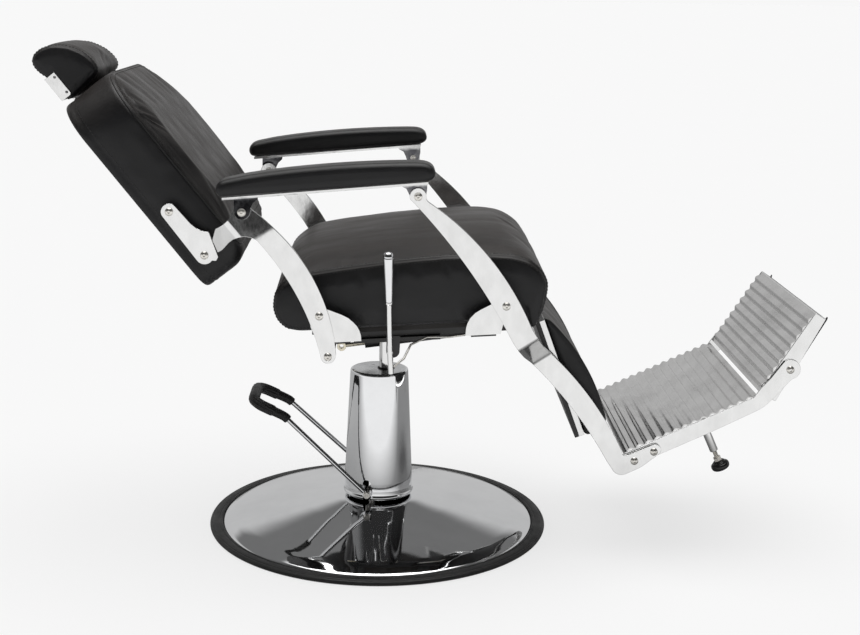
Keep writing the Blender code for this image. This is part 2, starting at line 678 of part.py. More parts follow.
def make_headrest():
    rings = []
    for y, inset in ((-1.0, 0.010), (-0.975, 0.002), (-0.94, 0.0), (0.94, 0.0), (0.975, 0.002),
                     (1.0, 0.010)):
        rings.append([(x, y * HEAD_HALF, z) for x, z in head_outline(inset)])
    cushion = loft("headrest_cushion", rings)
    cheek = [on_back(0.4115, -0.0104), on_back(0.4115, 0.0090), on_back(0.4140, 0.0118),
             on_back(0.4590, 0.0118), on_back(0.4590, -0.0104)]
    cheeks = plate("headrest_bracket", cheek, -HEAD_HALF - 0.0034, -HEAD_HALF - 0.0004)
    left = mirrored(cheeks, "left_plate")
    strap_rear = [on_back(0.4120, -0.0074), on_back(0.4120, -0.0100), on_back(0.4570, -0.0100),
                  on_back(0.4570, -0.0074)]
    strap = plate("strap", strap_rear, -HEAD_HALF - 0.0030, HEAD_HALF + 0.0030)
    holder = join(join(cheeks, strap), left)
    arm = [on_back(0.3990, -0.0100), on_back(0.4035, -0.0100), on_back(0.4035, 0.0220),
           on_back(0.2500, 0.0220), on_back(0.2500, 0.0172), on_back(0.3990, 0.0172)]
    post = plate("post", arm, -0.0200, 0.0200)
    riser = plate("riser", [on_back(0.4000, -0.0112), on_back(0.4000, -0.0078),
                            on_back(0.4200, -0.0078), on_back(0.4200, -0.0112)], -0.0200, 0.0200)
    holder = join(join(holder, post), riser)
    finish(holder, "chrome")
    finish(cushion, "black_vinyl", 50)


# ---- front frame -------------------------------------------------------------------
JOGGLE_TOP = (0.2590, 0.4335)
JOGGLE_LOW = (0.2915, 0.3880)
JOGGLE_NORMAL = (0.551, -0.835)
JOGGLE_LENGTH = 0.0559
FOOT_BOLTS = [(0.4690, 0.1960), (0.5040, 0.2140)]


def front_bar_outline():
    right = (-0.1918, 0.2676)
    left = (-0.6976, -0.0521)
    leg_right = (-0.1023, -0.0506)
    leg_left = (-0.2769, -0.1997)
    points = arc(right, 0.4960, angle_to(right, (0.0790, 0.6835)),
                 angle_to(right, (0.2657, 0.4641)), 10)
    points += [(0.2770, 0.4425), (0.2900, 0.4210)]
    points += arc(leg_right, 0.6082, angle_to(leg_right, (0.3071, 0.4002)),
                  angle_to(leg_right, (0.4451, 0.2138)), 9)
    points += [(0.4465, 0.2090), (0.4500, 0.2065), (0.4545, 0.2063), (0.5030, 0.2275)]
    points += arc((0.5070, 0.2175), 0.0105, 80, -60, 4)
    points += [(0.4826, 0.1844), (0.4560, 0.1714)]
    points += arc((0.4465, 0.1890), 0.0200, -70, -155, 5)
    points += arc(leg_left, 0.7995, angle_to(leg_left, (0.4175, 0.1960)),
                  angle_to(leg_left, (0.2764, 0.3765)), 9)
    points += [(0.2560, 0.4010), (0.2420, 0.4225)]
    points += arc(left, 1.0506, angle_to(left, (0.2310, 0.4390)),
                  angle_to(left, (0.0510, 0.6850)), 10)
    points += arc(FRONT_ARM_PIVOT, 0.0145, 195, 20, 6)
    return points


def make_front_bars():
    bar = plate("front_bar", front_bar_outline(), -BAR_Y, -BAR_Y + BAR_T)
    bar = drill(bar, [FRONT_PIVOT], -0.32, -0.26)
    slope = (BAR_Y - LEG_Y) / JOGGLE_LENGTH
    lead = BAR_T * (math.sqrt(1 + slope * slope) - 1) / slope
    bm = bmesh.new()
    bm.from_mesh(bar.data)
    n = Vector((JOGGLE_NORMAL[0], 0, JOGGLE_NORMAL[1])).normalized()
    starts = [Vector((p[0], 0, p[1])) for p in (JOGGLE_TOP, JOGGLE_LOW)]
    for start in starts:
        for shift in (0.0, lead):
            everything = bm.verts[:] + bm.edges[:] + bm.faces[:]
            bmesh.ops.bisect_plane(bm, geom=everything, plane_co=start - n * shift, plane_no=n)
    for vert in bm.verts:
        ahead = lead if vert.co.y + BAR_Y > BAR_T / 2 else 0.0
        s = (Vector((vert.co.x, 0, vert.co.z)) - starts[0]).dot(n) + ahead
        vert.co.y += slope * min(max(s, 0.0), JOGGLE_LENGTH)
    bm.to_mesh(bar.data)
    bm.free()
    bar = join(bar, pin("arm_stud", FRONT_ARM_PIVOT, BOLT_R, -0.2860, -0.2745, 12))
    for place in FOOT_BOLTS:
        bar = join(bar, pin("foot_bolt", place, BOLT_HEAD_R, -LEG_Y - 0.0040, -LEG_Y + 0.001, 16))
    both_sides(bar, "front_bar", "polished_steel")


def calf_bulge(s):
    """Height of the calf pad's crowned face above its board at s down the pad."""
    radius = 0.3844
    return math.sqrt(radius ** 2 - (s - 0.1786) ** 2) - 0.3339


def make_calf():
    pad_rings = []
    for y, scale in ((-1.0, 0.72), (-0.985, 0.90), (-0.94, 1.0), (0.0, 1.04), (0.94, 1.0),
                     (0.985, 0.90), (1.0, 0.72)):
        ring = [on_calf(0.002, 0.0005)]
        for i in range(10):
            s = 0.004 + (CALF_LENGTH - 0.020) * i / 9
            ring.append(on_calf(s, max(0.004, calf_bulge(s) * scale)))
        end = calf_bulge(CALF_LENGTH - 0.016) * scale
        ring += [on_calf(CALF_LENGTH - 0.006, end * 0.86), on_calf(CALF_LENGTH, end * 0.5),
                 on_calf(CALF_LENGTH - 0.002, 0.0005)]
        pad_rings.append([(x, y * CALF_HALF, z) for x, z in ring])
    finish(loft("calf_pad", pad_rings), "black_vinyl", 50)
    for name, low, high, look in (("calf_tray", -0.0100, 0.0, "polished_steel"),
                                  ("calf_board", -0.0180, -0.0104, "black_steel")):
        outline = [on_calf(0.004, low), on_calf(CALF_LENGTH - 0.006, low),
                   on_calf(CALF_LENGTH - 0.006, high), on_calf(0.004, high)]
        finish(plate(name, outline, -CALF_HALF, CALF_HALF), look)


def ribbed_sheet(name, start, angle, length, first, count, half):
    """A sheet ribbed across its length: round crests with sharp valleys between them."""
    top = [(0.0, 0.0)]
    for rib in range(count):
        for i in range(6):
            s = first + RIB_PITCH * (rib + i / 6)
            top.append((s, RIB_HEIGHT * math.sin(math.pi * i / 6) ** 0.8))
    end = first + RIB_PITCH * count
    top += [(end, 0.0), (length, 0.0)]
    bottom = [(length, -SHEET_T), (0.0, -SHEET_T)]
    outline = [on_slope(start, angle, s, h) for s, h in top + bottom]
    return plate(name, outline, -half, half)


def make_footplate():
    sheet = ribbed_sheet("footplate", PLATE_START, PLATE_ANGLE, PLATE_LENGTH, 0.006, 14,
                         PLATE_HALF - 0.0002)
    inside = -0.4 * SHEET_T
    flange = [on_slope(PLATE_START, PLATE_ANGLE, 0.002, inside),
              (0.4600, 0.1850), (0.4900, 0.1955), (0.5206, 0.2092),
              (0.6069, 0.2495), (0.6926, 0.2929), (0.7060, 0.3020), (0.7200, 0.3170),
              (0.7339, 0.3330), (0.7500, 0.3520)]
    flange += arc(FLIP_PIVOT, 0.0190, -50, 130, 8)
    flange += [(0.7120, 0.3540), (0.6960, 0.3360), (0.6880, 0.3250)]
    flange.append(on_slope(PLATE_START, PLATE_ANGLE, PLATE_LENGTH - 0.004, inside))
    side = plate("side", flange, -PLATE_HALF, -PLATE_HALF + SHEET_T)
    side = drill(side, [FLIP_PIVOT], -0.22, -0.18)
    other = mirrored(side, "other")
    obj = join(join(sheet, side), other)
    axis = Vector((math.sin(PLATE_ANGLE), 0, -math.cos(PLATE_ANGLE)))
    for y in (-0.180, 0.180):
        x, z = on_slope(PLATE_START, PLATE_ANGLE, 0.1560, -SHEET_T + 0.001)
        start = Vector((x, y, z))
        sleeve = tube("sleeve", [start, start + axis * 0.070], 0.0075, 3)
        obj = join(obj, sleeve)
        bore = tube("bore", [start + axis * 0.040, start + axis * 0.100], 0.0044, 3)
        obj = cut(obj, bore)
        label = "stop_foot_right" if y < 0 else "stop_foot_left"
        foot = tube(label, [start + axis * 0.052, start + axis * 0.096], 0.0038, 3)
        turn = axis.to_track_quat("Z", "Y").to_matrix().to_4x4()
        nut = turned("nut", [(0, 0.0085), (0.0075, 0.0085), (0.0075, 0.0), (0, 0.0)], 6,
                     start + axis * 0.0830, turn)
        disc = turned("disc", [(0, 0.0165), (0.0110, 0.0165), (0.0160, 0.0130), (0.0170, 0.0080),
                               (0.0160, 0.0030), (0.0120, 0.0), (0, 0.0)], 24,
                      start + axis * 0.0920, turn)
        finish(join(join(foot, nut), disc), "rubber")
    finish(obj, "ribbed_metal")


def make_flip_plate():
    sheet = ribbed_sheet("flip_plate", FLIP_START, FLIP_ANGLE, FLIP_LENGTH, 0.006, 9,
                         FLIP_HALF - 0.0002)
    tip = on_slope(FLIP_START, FLIP_ANGLE, FLIP_LENGTH, 0.0)
    lip = plate("lip", [tip, on_slope(FLIP_START, FLIP_ANGLE, FLIP_LENGTH, -0.0260),
                        on_slope(FLIP_START, FLIP_ANGLE, FLIP_LENGTH - 0.003, -0.0260),
                        on_slope(FLIP_START, FLIP_ANGLE, FLIP_LENGTH - 0.003, 0.0)],
                -FLIP_HALF + 0.0002, FLIP_HALF - 0.0002)
    sheet = join(sheet, lip)
    inside = -0.4 * SHEET_T
    flange = [on_slope(FLIP_START, FLIP_ANGLE, FLIP_LENGTH - 0.001, inside),
              (0.8075, 0.4685), (0.7660, 0.3870), (0.7355, 0.3310), (0.7245, 0.3095),
              (0.7164, 0.3127), (0.7080, 0.3240),
              on_slope(FLIP_START, FLIP_ANGLE, 0.002, inside)]
    side = plate("side", flange, -FLIP_HALF, -FLIP_HALF + SHEET_T)
    other = mirrored(side, "other")
    obj = join(join(sheet, side), other)
    obj = drill(obj, [FLIP_PIVOT], -0.22, 0.22, 0.0046)
    finish(obj, "ribbed_metal")

    shaft = pin("flip_shaft", FLIP_PIVOT, 0.0040, -0.2020, 0.2020, 16)
    for side_sign in (-1, 1):
        y = sorted((side_sign * 0.2000, side_sign * 0.2040))
        shaft = join(shaft, pin("head", FLIP_PIVOT, BOLT_HEAD_R, y[0], y[1], 16))
    finish(shaft, "zinc_bolt")


# ---- armrests ----------------------------------------------------------------------
ARM_LOW = ((-0.2683, 0.6875), (0.0724, 0.7183))


def arm_top(x):
    """Height of the pad's upper face at x: a shallow arc that falls to the rear."""
    t = (x + 0.2683) / 0.3612
    return 0.7136 + 0.0372 * math.sin(math.pi / 2 * min(max(t, 0.0), 1.0)) ** 0.72


def arm_bottom(x):
    t = (x - ARM_LOW[0][0]) / (ARM_LOW[1][0] - ARM_LOW[0][0])
    return ARM_LOW[0][1] + (ARM_LOW[1][1] - ARM_LOW[0][1]) * t


def pad_outline(inset):
    points = [(-0.2683 + inset, 0.6880 + inset), (-0.2738 + inset, 0.6945), (-0.2748 + inset, 0.7045),
              (-0.2700 + inset, 0.7130 - inset)]
    for i in range(8):
        x = -0.2600 + 0.3150 * i / 7
        points.append((x, arm_top(x) - inset))
    points += [(0.0748, 0.7500 - inset), (0.0880 - inset, 0.7450 - inset), (0.0935 - inset, 0.7340),
               (0.0900 - inset, 0.7235 + inset * 0.5), (0.0760 - inset, 0.7185 + inset),
               (-0.0900, 0.7040 + inset)]
    return points


def make_armrests():
    middle = -0.2950
    rings = []
    for y, inset in ((-0.030, 0.0085), (-0.0285, 0.0035), (-0.0240, 0.0008), (0.0, 0.0),
                     (0.0240, 0.0008), (0.0285, 0.0035), (0.030, 0.0085)):
        rings.append([(x, middle + y, z) for x, z in pad_outline(inset)])
    both_sides(loft("armrest_pad", rings), "armrest_pad", "black_vinyl")

    strip = [(x, arm_bottom(x) - drop) for x, drop in
             ((-0.2640, 0.0010), (0.0800, 0.0010), (0.0800, 0.0050), (-0.2640, 0.0050))]
    rail = plate("armrest_rail", strip, -0.3130, -0.2730)
    rear_ear = [(-0.2470, 0.6850), (-0.2475, 0.6720), (-0.2465, 0.6600)]
    rear_ear += arc(REAR_ARM_PIVOT, 0.0125, 190, 350, 7)
    rear_ear += [(-0.2195, 0.6650), (-0.2150, 0.6745), (-0.2070, 0.6820), (-0.2060, 0.6890)]
    y = -BAR_Y + KNOT_SLOPE * 0.0536 - 0.0052
    ear = plate("ear", rear_ear, y, y + 0.003)
    for vert in ear.data.vertices:
        offset = (vert.co.x - REAR_ARM_PIVOT[0]) * -0.549 + (vert.co.z - REAR_ARM_PIVOT[1]) * 0.836
        vert.co.y += KNOT_SLOPE * offset
    ear = drill(ear, [REAR_ARM_PIVOT], -0.32, -0.26)
    rail = join(rail, ear)
    front_ear = [(0.0330, 0.7130), (0.0340, 0.7070), (0.0440, 0.7020)]
    front_ear += arc(FRONT_ARM_PIVOT, 0.0130, 190, 350, 7)
    front_ear += [(0.0790, 0.7000), (0.0795, 0.7165)]
    ear = plate("front_ear", front_ear, -0.2822, -0.2792)
    ear = drill(ear, [FRONT_ARM_PIVOT], -0.29, -0.27, BOLT_R + 0.0012)
    rail = join(rail, ear)
    both_sides(rail, "armrest_rail", "polished_steel")


def make_pivot_bolts():
    bolts = (("rear_pivot_bolt", REAR_PIVOT, -BAR_Y, 0.0104),
             ("front_pivot_bolt", FRONT_PIVOT, -BAR_Y, 0.0104),
             ("arm_pivot_bolt", REAR_ARM_PIVOT, -BAR_Y + KNOT_SLOPE * 0.0536 - 0.0076, 0.0170))
    for stem, place, face, grip_length in bolts:
        profile = [(0, 0.0042), (0.0045, 0.0038), (BOLT_HEAD_R, 0.0020), (BOLT_HEAD_R, 0),
                   (BOLT_R, 0), (BOLT_R, -grip_length - 0.0008), (0.0065, -grip_length - 0.0008),
                   (0.0065, -grip_length - 0.0058), (0, -grip_length - 0.0058)]
        bolt = turned(stem, profile, 16, (place[0], face - GAP, place[1]), along_y())
        both_sides(bolt, stem, "zinc_bolt")


make_base()
make_pump()
make_lever()
make_lift()
make_chassis()
make_brackets()
make_seat_cushion()
make_release()
make_gas_spring()
make_rear_frame()
make_back()
make_headrest()
make_front_bars()
make_calf()
make_footplate()
make_flip_plate()
make_armrests()
make_pivot_bolts()
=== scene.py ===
"""Looks of the hydraulic barber chair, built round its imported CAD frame. Lengths are in metres.

+X is the front of the chair, +Z is up, and the sitter's right side is at -Y.
"""
import math

import bmesh
import bpy
from mathutils import Matrix, Vector
from mathutils.bvhtree import BVHTree
from mathutils.kdtree import KDTree


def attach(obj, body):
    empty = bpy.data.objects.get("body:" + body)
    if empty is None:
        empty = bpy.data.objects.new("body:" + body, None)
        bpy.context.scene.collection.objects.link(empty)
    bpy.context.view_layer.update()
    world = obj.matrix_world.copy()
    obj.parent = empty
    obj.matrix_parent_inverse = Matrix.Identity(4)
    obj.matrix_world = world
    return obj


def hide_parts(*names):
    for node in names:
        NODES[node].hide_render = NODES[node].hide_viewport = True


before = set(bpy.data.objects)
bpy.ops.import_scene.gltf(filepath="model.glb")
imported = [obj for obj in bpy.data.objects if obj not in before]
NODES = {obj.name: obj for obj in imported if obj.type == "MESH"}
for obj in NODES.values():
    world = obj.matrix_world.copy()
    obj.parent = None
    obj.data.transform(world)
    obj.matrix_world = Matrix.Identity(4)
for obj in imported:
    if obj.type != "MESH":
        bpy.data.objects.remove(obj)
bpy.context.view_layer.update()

# ---- places and sizes that the CAD part has ----------------------------------------
NECK_R = 0.0490
PISTON_X = 0.013
PISTON_R = 0.0135
PISTON_TOP = 0.376
LEVER_PIVOT = (-0.022, 0.080)
LEVER_KNEE = (-0.1800, 0.2310)
LEVER_LOOP = (-0.240, 0.259)
SEAT_FRAME = Matrix.Translation((0, 0, 0.4416)) @ Matrix.Rotation(math.radians(-3.6), 4, "Y")
SEAT_HALF = 0.255
BAR_T = 0.006
BAR_Y = 0.290
LEG_Y = 0.206
REAR_PIVOT = (-0.103, 0.481)
REAR_ARM_PIVOT = (-0.234, 0.659)
REAR_LOW = (-0.088, 0.409)
FRONT_PIVOT = (0.219, 0.502)
FRONT_ARM_PIVOT = (0.064, 0.690)
FLIP_PIVOT = (0.746, 0.370)
BACK_ANGLE = math.radians(38.5)
BACK_FOOT = (-0.3035, 0.5105)
BACK_HALF = 0.225
BACK_LENGTH = 0.397
HINGE_Y = 0.2475
HINGE_TOP = (-0.3620, 0.6520)
HINGE_LOW = (-0.3030, 0.5770)
HEAD_HALF = 0.105
PLATE_ANGLE = math.radians(25.0)
PLATE_START = (0.449, 0.2085)
PLATE_LENGTH = 0.262
PLATE_HALF = 0.1995
FLIP_ANGLE = math.radians(57.8)
FLIP_START = (0.6930, 0.3265)
FLIP_LENGTH = 0.176
FLIP_HALF = 0.1955
RIB_PITCH = 0.018
RIB_HEIGHT = 0.0045
CALF_TOP = (0.2953, 0.4597)
CALF_ANGLE = math.radians(69.4)
CALF_LENGTH = 0.240
CALF_HALF = 0.190
FOOT_BOLTS = ((0.4690, 0.1960), (0.5040, 0.2140))
ARM_Y = 0.295
ARM_HALF = 0.030
RELEASE_Y = -0.2760
RELEASE_PIVOT = (0.0190, 0.4140)
RELEASE_TIP = (0.0167, 0.5050)
HEAD_R = 0.0070                   # button-head bolts
SIDES = ((-1, "right"), (1, "left"))


# ---- camera, floor and light -------------------------------------------------------
CAMERA_PLACE = (0.0125, -2.7035, 1.0367)
CAMERA_TURN = (1.78, 12.96, 1.02)  # degrees of yaw, pitch and roll
CAMERA_LENS = 60.25
PALE = 0.93                       # how bright the empty floor and its background look
OVERHEAD = 3.6                    # brightness of the large soft light


def make_camera():
    yaw, pitch, roll = (math.radians(a) for a in CAMERA_TURN)
    forward = Vector((math.sin(yaw) * math.cos(pitch), math.cos(yaw) * math.cos(pitch),
                      -math.sin(pitch)))
    right = Vector((math.cos(yaw), -math.sin(yaw), 0))
    up = right.cross(forward)
    across = math.cos(roll) * right + math.sin(roll) * up
    top = math.cos(roll) * up - math.sin(roll) * right
    turn = Matrix((across, top, -forward)).transposed().to_4x4()
    data = bpy.data.cameras.new("camera")
    data.lens = CAMERA_LENS
    data.sensor_width = 36.0
    data.clip_start, data.clip_end = 0.1, 400.0
    camera = linked("camera", data)
    camera.matrix_world = Matrix.Translation(CAMERA_PLACE) @ turn
    bpy.context.scene.camera = camera


def make_world():
    """A pale studio: bright low backdrop, dark above it, one large soft light overhead."""
    world = bpy.data.worlds.new("studio")
    bpy.context.scene.world = world
    world.use_nodes = True
    nodes, links = world.node_tree.nodes, world.node_tree.links
    parts = nodes.new("ShaderNodeSeparateXYZ")
    links.new(nodes.new("ShaderNodeTexCoord").outputs["Generated"], parts.inputs[0])

    def span(socket, low, high, start=0.0, end=1.0):
        node = nodes.new("ShaderNodeMapRange")
        node.interpolation_type = "SMOOTHSTEP"
        links.new(socket, node.inputs["Value"])
        for name, value in (("From Min", low), ("From Max", high), ("To Min", start), ("To Max", end)):
            node.inputs[name].default_value = value
        return node.outputs["Result"]

    def mixed(factor, a, b):
        node = nodes.new("ShaderNodeMix")
        for socket, value in zip((node.inputs["Factor"], node.inputs["A"], node.inputs["B"]), (factor, a, b)):
            if isinstance(value, float):
                socket.default_value = value
            else:
                links.new(value, socket)
        return node.outputs["Result"]

    x, y, z = parts.outputs
    backdrop = span(z, 0.42, 0.52, 0.55, 0.17)
    front = span(z, 0.00, 0.10, 0.70, 0.030)
    around = mixed(span(y, -0.35, 0.25), front, backdrop)
    light = mixed(span(z, 0.80, 0.93), around, OVERHEAD)
    ray = nodes.new("ShaderNodeLightPath").outputs["Is Camera Ray"]
    links.new(mixed(ray, light, PALE), nodes["Background"].inputs["Color"])


# ---- materials ---------------------------------------------------------------------
class Look:
    """One node material with short ways to add to it."""

    def __init__(self, name, colour, roughness, metallic=0.0, **uniform):
        self.mat = bpy.data.materials.new(name)
        self.mat.use_nodes = True
        self.nodes = self.mat.node_tree.nodes
        self.links = self.mat.node_tree.links
        self.shader = self.nodes["Principled BSDF"]
        self.place = self.nodes.new("ShaderNodeTexCoord").outputs["Object"]
        self.set("Base Color", (*colour, 1.0))
        self.set("Roughness", roughness)
        self.set("Metallic", metallic)
        for key, value in uniform.items():
            self.set(key.replace("_", " "), value)

    def set(self, name, value):
        if isinstance(value, bpy.types.NodeSocket):
            self.links.new(value, self.shader.inputs[name])
        else:
            self.shader.inputs[name].default_value = value

    def add(self, kind, inputs, **settings):
        node = self.nodes.new("ShaderNode" + kind)
        for key, value in settings.items():
            setattr(node, key, value)
        for key, value in inputs.items():
            if isinstance(value, bpy.types.NodeSocket):
                self.links.new(value, node.inputs[key])
            else:
                node.inputs[key].default_value = value
        return node

    def noise(self, scale, detail=2.0, stretch=(1, 1, 1), roughness=0.5):
        spot = self.add("Mapping", {"Vector": self.place, "Scale": stretch}).outputs["Vector"]
        made = self.add("TexNoise", {"Vector": spot, "Scale": scale, "Detail": detail,
                                     "Roughness": roughness})
        return made.outputs["Fac"]

    def span(self, value, low, high, start=0.0, end=1.0):
        made = self.add("MapRange", {"Value": value, "From Min": low, "From Max": high,
                                     "To Min": start, "To Max": end})
        return made.outputs["Result"]

    def calc(self, a, b, operation="ADD"):
        made = self.add("Math", {0: a, 1: b}, operation=operation)
        return made.outputs["Value"]

    def blend(self, factor, a, b):
        a, b = ((*c, 1.0) if isinstance(c, tuple) else c for c in (a, b))
        made = self.add("Mix", {0: factor, 6: a, 7: b}, data_type="RGBA")
        return made.outputs[2]

    def bump(self, height, distance, strength=1.0, under=None):
        inputs = {"Height": height, "Distance": distance, "Strength": strength}
        if under is not None:
            inputs["Normal"] = under
        return self.add("Bump", inputs).outputs["Normal"]


def make_vinyl(name, dark, pale, painted_top_sheen):
    """Black upholstery vinyl: pebbled grain, soft streaks from sitting, and a painted sheen that lightens and
    browns its up-facing tops.
    """
    look = Look(name, dark, 0.40, Specular_IOR_Level=0.40, Sheen_Weight=0.05, Sheen_Roughness=0.35,
                Sheen_Tint=(0.95, 0.85, 0.80, 1.0))
    streaks = look.noise(16.0, 5.0, (0.35, 1.6, 1.2), 0.6)
    clouds = look.noise(5.0, 3.0)
    surface = look.add("NewGeometry", {})
    up = look.add("SeparateXYZ", {0: surface.outputs["Normal"]}).outputs["Z"]
    # Painted sheen: faces that point up are painted lighter and browner, broken up by the streaks.
    sheen_on_tops = look.calc(look.span(up, 0.15, 0.95), look.span(streaks, 0.25, 0.70, 0.55, 1.0),
                    "MULTIPLY")
    colour = look.blend(look.span(clouds, 0.35, 0.65), dark, pale)
    colour = look.blend(sheen_on_tops, colour, painted_top_sheen)
    # Convex edges painted lighter: partly rubbed wear, partly a painted rim highlight.
    edge = look.span(surface.outputs["Pointiness"], 0.51, 0.57, 0.0, 0.35)
    look.set("Base Color", look.blend(edge, colour, tuple(c * 1.8 for c in pale)))
    smudge = look.span(streaks, 0.35, 0.68, 0.34, 0.50)
    look.set("Roughness", look.calc(smudge, look.span(clouds, 0.4, 0.7, -0.03, 0.03)))
    warp = look.add("TexNoise", {"Vector": look.place, "Scale": 300.0, "Detail": 1.0})
    spot = look.add("MixRGB", {0: 0.0022, 1: look.place, 2: warp.outputs["Color"]})
    cells = look.add("TexVoronoi", {"Vector": spot.outputs[0], "Scale": 780.0},
                     feature="DISTANCE_TO_EDGE").outputs["Distance"]
    pebbles = look.span(cells, 0.0, 0.16)
    grain = look.bump(pebbles, 0.00010, 0.50)
    pores = look.bump(look.noise(3200.0, 2.0), 0.00004, 0.35, grain)
    look.set("Normal", look.bump(streaks, 0.0011, 0.18, pores))
    return look.mat


def make_chrome(name, colour, rough, wave, scratch):
    """Plated metal: faint waviness in its mirror, wiped smudges and hairline scratches."""
    look = Look(name, colour, rough, 1.0)
    smudge = look.noise(11.0, 5.0, (1, 1, 1), 0.62)
    hairs = look.noise(40.0, 3.0, (1.0, 26.0, 3.0), 0.7)
    film = look.span(smudge, 0.45, 0.72, rough * 0.75, rough * 1.9)
    look.set("Roughness", look.calc(film, look.span(hairs, 0.50, 0.75, 0.0, scratch)))
    dull = tuple(c * 0.93 for c in colour)
    look.set("Base Color", look.blend(look.span(smudge, 0.40, 0.70), colour, dull))
    waves = look.bump(look.noise(14.0, 1.0), 0.0018, wave)
    look.set("Normal", look.bump(hairs, 0.00002, 0.25, waves))
    return look.mat


def make_plate_steel():
    """Side bars: plated sheet steel with a fine ground grain under the bright finish."""
    look = Look("plated_steel", (0.83, 0.83, 0.825), 0.13, 1.0)
    grain = look.noise(420.0, 3.0, (1.0, 1.0, 0.22), 0.65)
    film = look.noise(18.0, 4.0, (1, 1, 1), 0.6)
    mottle = look.noise(46.0, 3.0, (1.0, 1.0, 0.6), 0.55)
    base = look.span(film, 0.38, 0.70, 0.10, 0.21)
    look.set("Roughness", look.calc(base, look.span(grain, 0.35, 0.70, -0.02, 0.04)))
    look.set("Base Color", look.blend(look.span(mottle, 0.35, 0.70), (0.86, 0.86, 0.855),
                                      (0.79, 0.79, 0.785)))
    waves = look.bump(mottle, 0.0006, 0.22)
    look.set("Normal", look.bump(grain, 0.00003, 0.22, waves))
    return look.mat


def make_rail_steel():
    """Armrest rails: bright strip under the pad; its ears are painted dark and mottled, a painted dark
    reflection.
    """
    look = Look("rail_steel", (0.80, 0.80, 0.795), 0.16, 1.0)
    x, y, z = look.add("SeparateXYZ", {0: look.place}).outputs
    rise = look.calc(z, look.calc(x, 0.075, "MULTIPLY"), "SUBTRACT")
    mottle = look.noise(60.0, 4.0, (1, 1, 1), 0.6)
    # Above this height the ears get a painted dark reflection, mottled, in place of the plain plating colour.
    painted_dark_ear = look.span(look.calc(rise, look.span(mottle, 0.3, 0.7, -0.002, 0.002)), 0.700, 0.706, 1.0, 0.0)
    dark = look.blend(look.span(mottle, 0.40, 0.66), (0.10, 0.10, 0.11), (0.24, 0.24, 0.25))
    look.set("Base Color", look.blend(painted_dark_ear, (0.80, 0.80, 0.795), dark))
    look.set("Roughness", look.span(mottle, 0.3, 0.7, 0.12, 0.24))
    look.set("Normal", look.bump(look.noise(420.0, 3.0, (1.0, 1.0, 0.22), 0.65), 0.00003, 0.22))
    return look.mat


def make_rib_metal():
    """Rolled sheet: draw lines along the ribs, with duller traffic marks."""
    look = Look("rib_metal", (0.70, 0.695, 0.69), 0.17, 1.0)
    lines = look.noise(220.0, 4.0, (1.0, 0.02, 1.0), 0.7)
    wear = look.noise(13.0, 5.0, (1, 1, 1), 0.65)
    look.set("Base Color", look.blend(look.span(wear, 0.35, 0.70), (0.74, 0.735, 0.73),
                                      (0.62, 0.615, 0.61)))
    rough = look.span(wear, 0.38, 0.70, 0.13, 0.27)
    look.set("Roughness", look.calc(rough, look.span(lines, 0.35, 0.7, -0.02, 0.05)))
    look.set("Normal", look.bump(lines, 0.00006, 0.30))
    return look.mat


def make_coat(name, dark, pale, rough, scale, depth, metallic=0.0):
    """Painted, moulded or plated small parts: orange-peel surface, dust and rubbed edges."""
    look = Look(name, dark, rough, metallic)
    dust = look.noise(24.0, 5.0, (1, 1, 1), 0.62)
    worn = look.add("NewGeometry", {}).outputs["Pointiness"]
    factor = look.calc(look.span(dust, 0.42, 0.75, 0.0, 0.7), look.span(worn, 0.52, 0.60, 0.0, 0.6))
    look.set("Base Color", look.blend(factor, dark, pale))
    look.set("Roughness", look.span(dust, 0.35, 0.70, rough * 0.82, rough * 1.25))
    peel = look.bump(look.noise(scale, 2.0), depth, 0.5)
    look.set("Normal", look.bump(dust, 0.0004, 0.10, peel))
    return look.mat


def make_plywood():
    """Plywood stained black, its plies and fibres still showing."""
    look = Look("plywood", (0.02, 0.02, 0.02), 0.65)
    plies = look.add("TexWave", {"Vector": look.place, "Scale": 160.0, "Distortion": 1.2},
                     bands_direction="Z").outputs["Fac"]
    fibres = look.noise(60.0, 5.0, (0.08, 1.0, 1.0), 0.65)
    tone = look.blend(fibres, (0.016, 0.014, 0.013), (0.028, 0.024, 0.021))
    look.set("Base Color", look.blend(look.span(plies, 0.3, 0.8, 0.0, 0.45), tone, (0.010, 0.009, 0.008)))
    look.set("Roughness", look.span(fibres, 0.3, 0.7, 0.55, 0.75))
    look.set("Normal", look.bump(fibres, 0.0003, 0.4))
    return look.mat


def make_floor_paint():
    """A lit pale floor; mirrors see it dimmer beside and behind the chair than in front."""
    look = Look("floor_paint", (0.20, 0.20, 0.20), 0.9, Specular_IOR_Level=0.0)
    look.set("Base Color", look.blend(look.noise(2.0, 3.0), (0.198, 0.198, 0.198), (0.202, 0.202, 0.202)))
    look.set("Emission Color", (1.0, 1.0, 1.0, 1.0))
    x, y, z = look.add("SeparateXYZ", {0: look.place}).outputs
    beside = look.span(x, -0.6, 0.6, 0.24, 0.06)
    behind = look.span(y, -0.80, -0.28)
    mirrored_glow = look.blend(behind, (0.74, 0.74, 0.74), (0.0, 0.0, 0.0))
    glow = look.calc(mirrored_glow, look.calc(behind, beside, "MULTIPLY"))
    ray = look.add("LightPath", {}).outputs["Is Camera Ray"]
    look.set("Emission Strength", look.add("Mix", {0: ray, 2: glow, 3: 0.735}).outputs[0])
    return look.mat


def make_floor():
    reach, z = 120.0, -0.0004
    floor = linked("floor", bpy.data.meshes.new("floor"))
    corners = [(-reach, -reach, z), (reach, -reach, z), (reach, reach, z), (-reach, reach, z)]
    floor.data.from_pydata(corners, [], [(0, 1, 2, 3)])
    floor.data.materials.append(make_floor_paint())
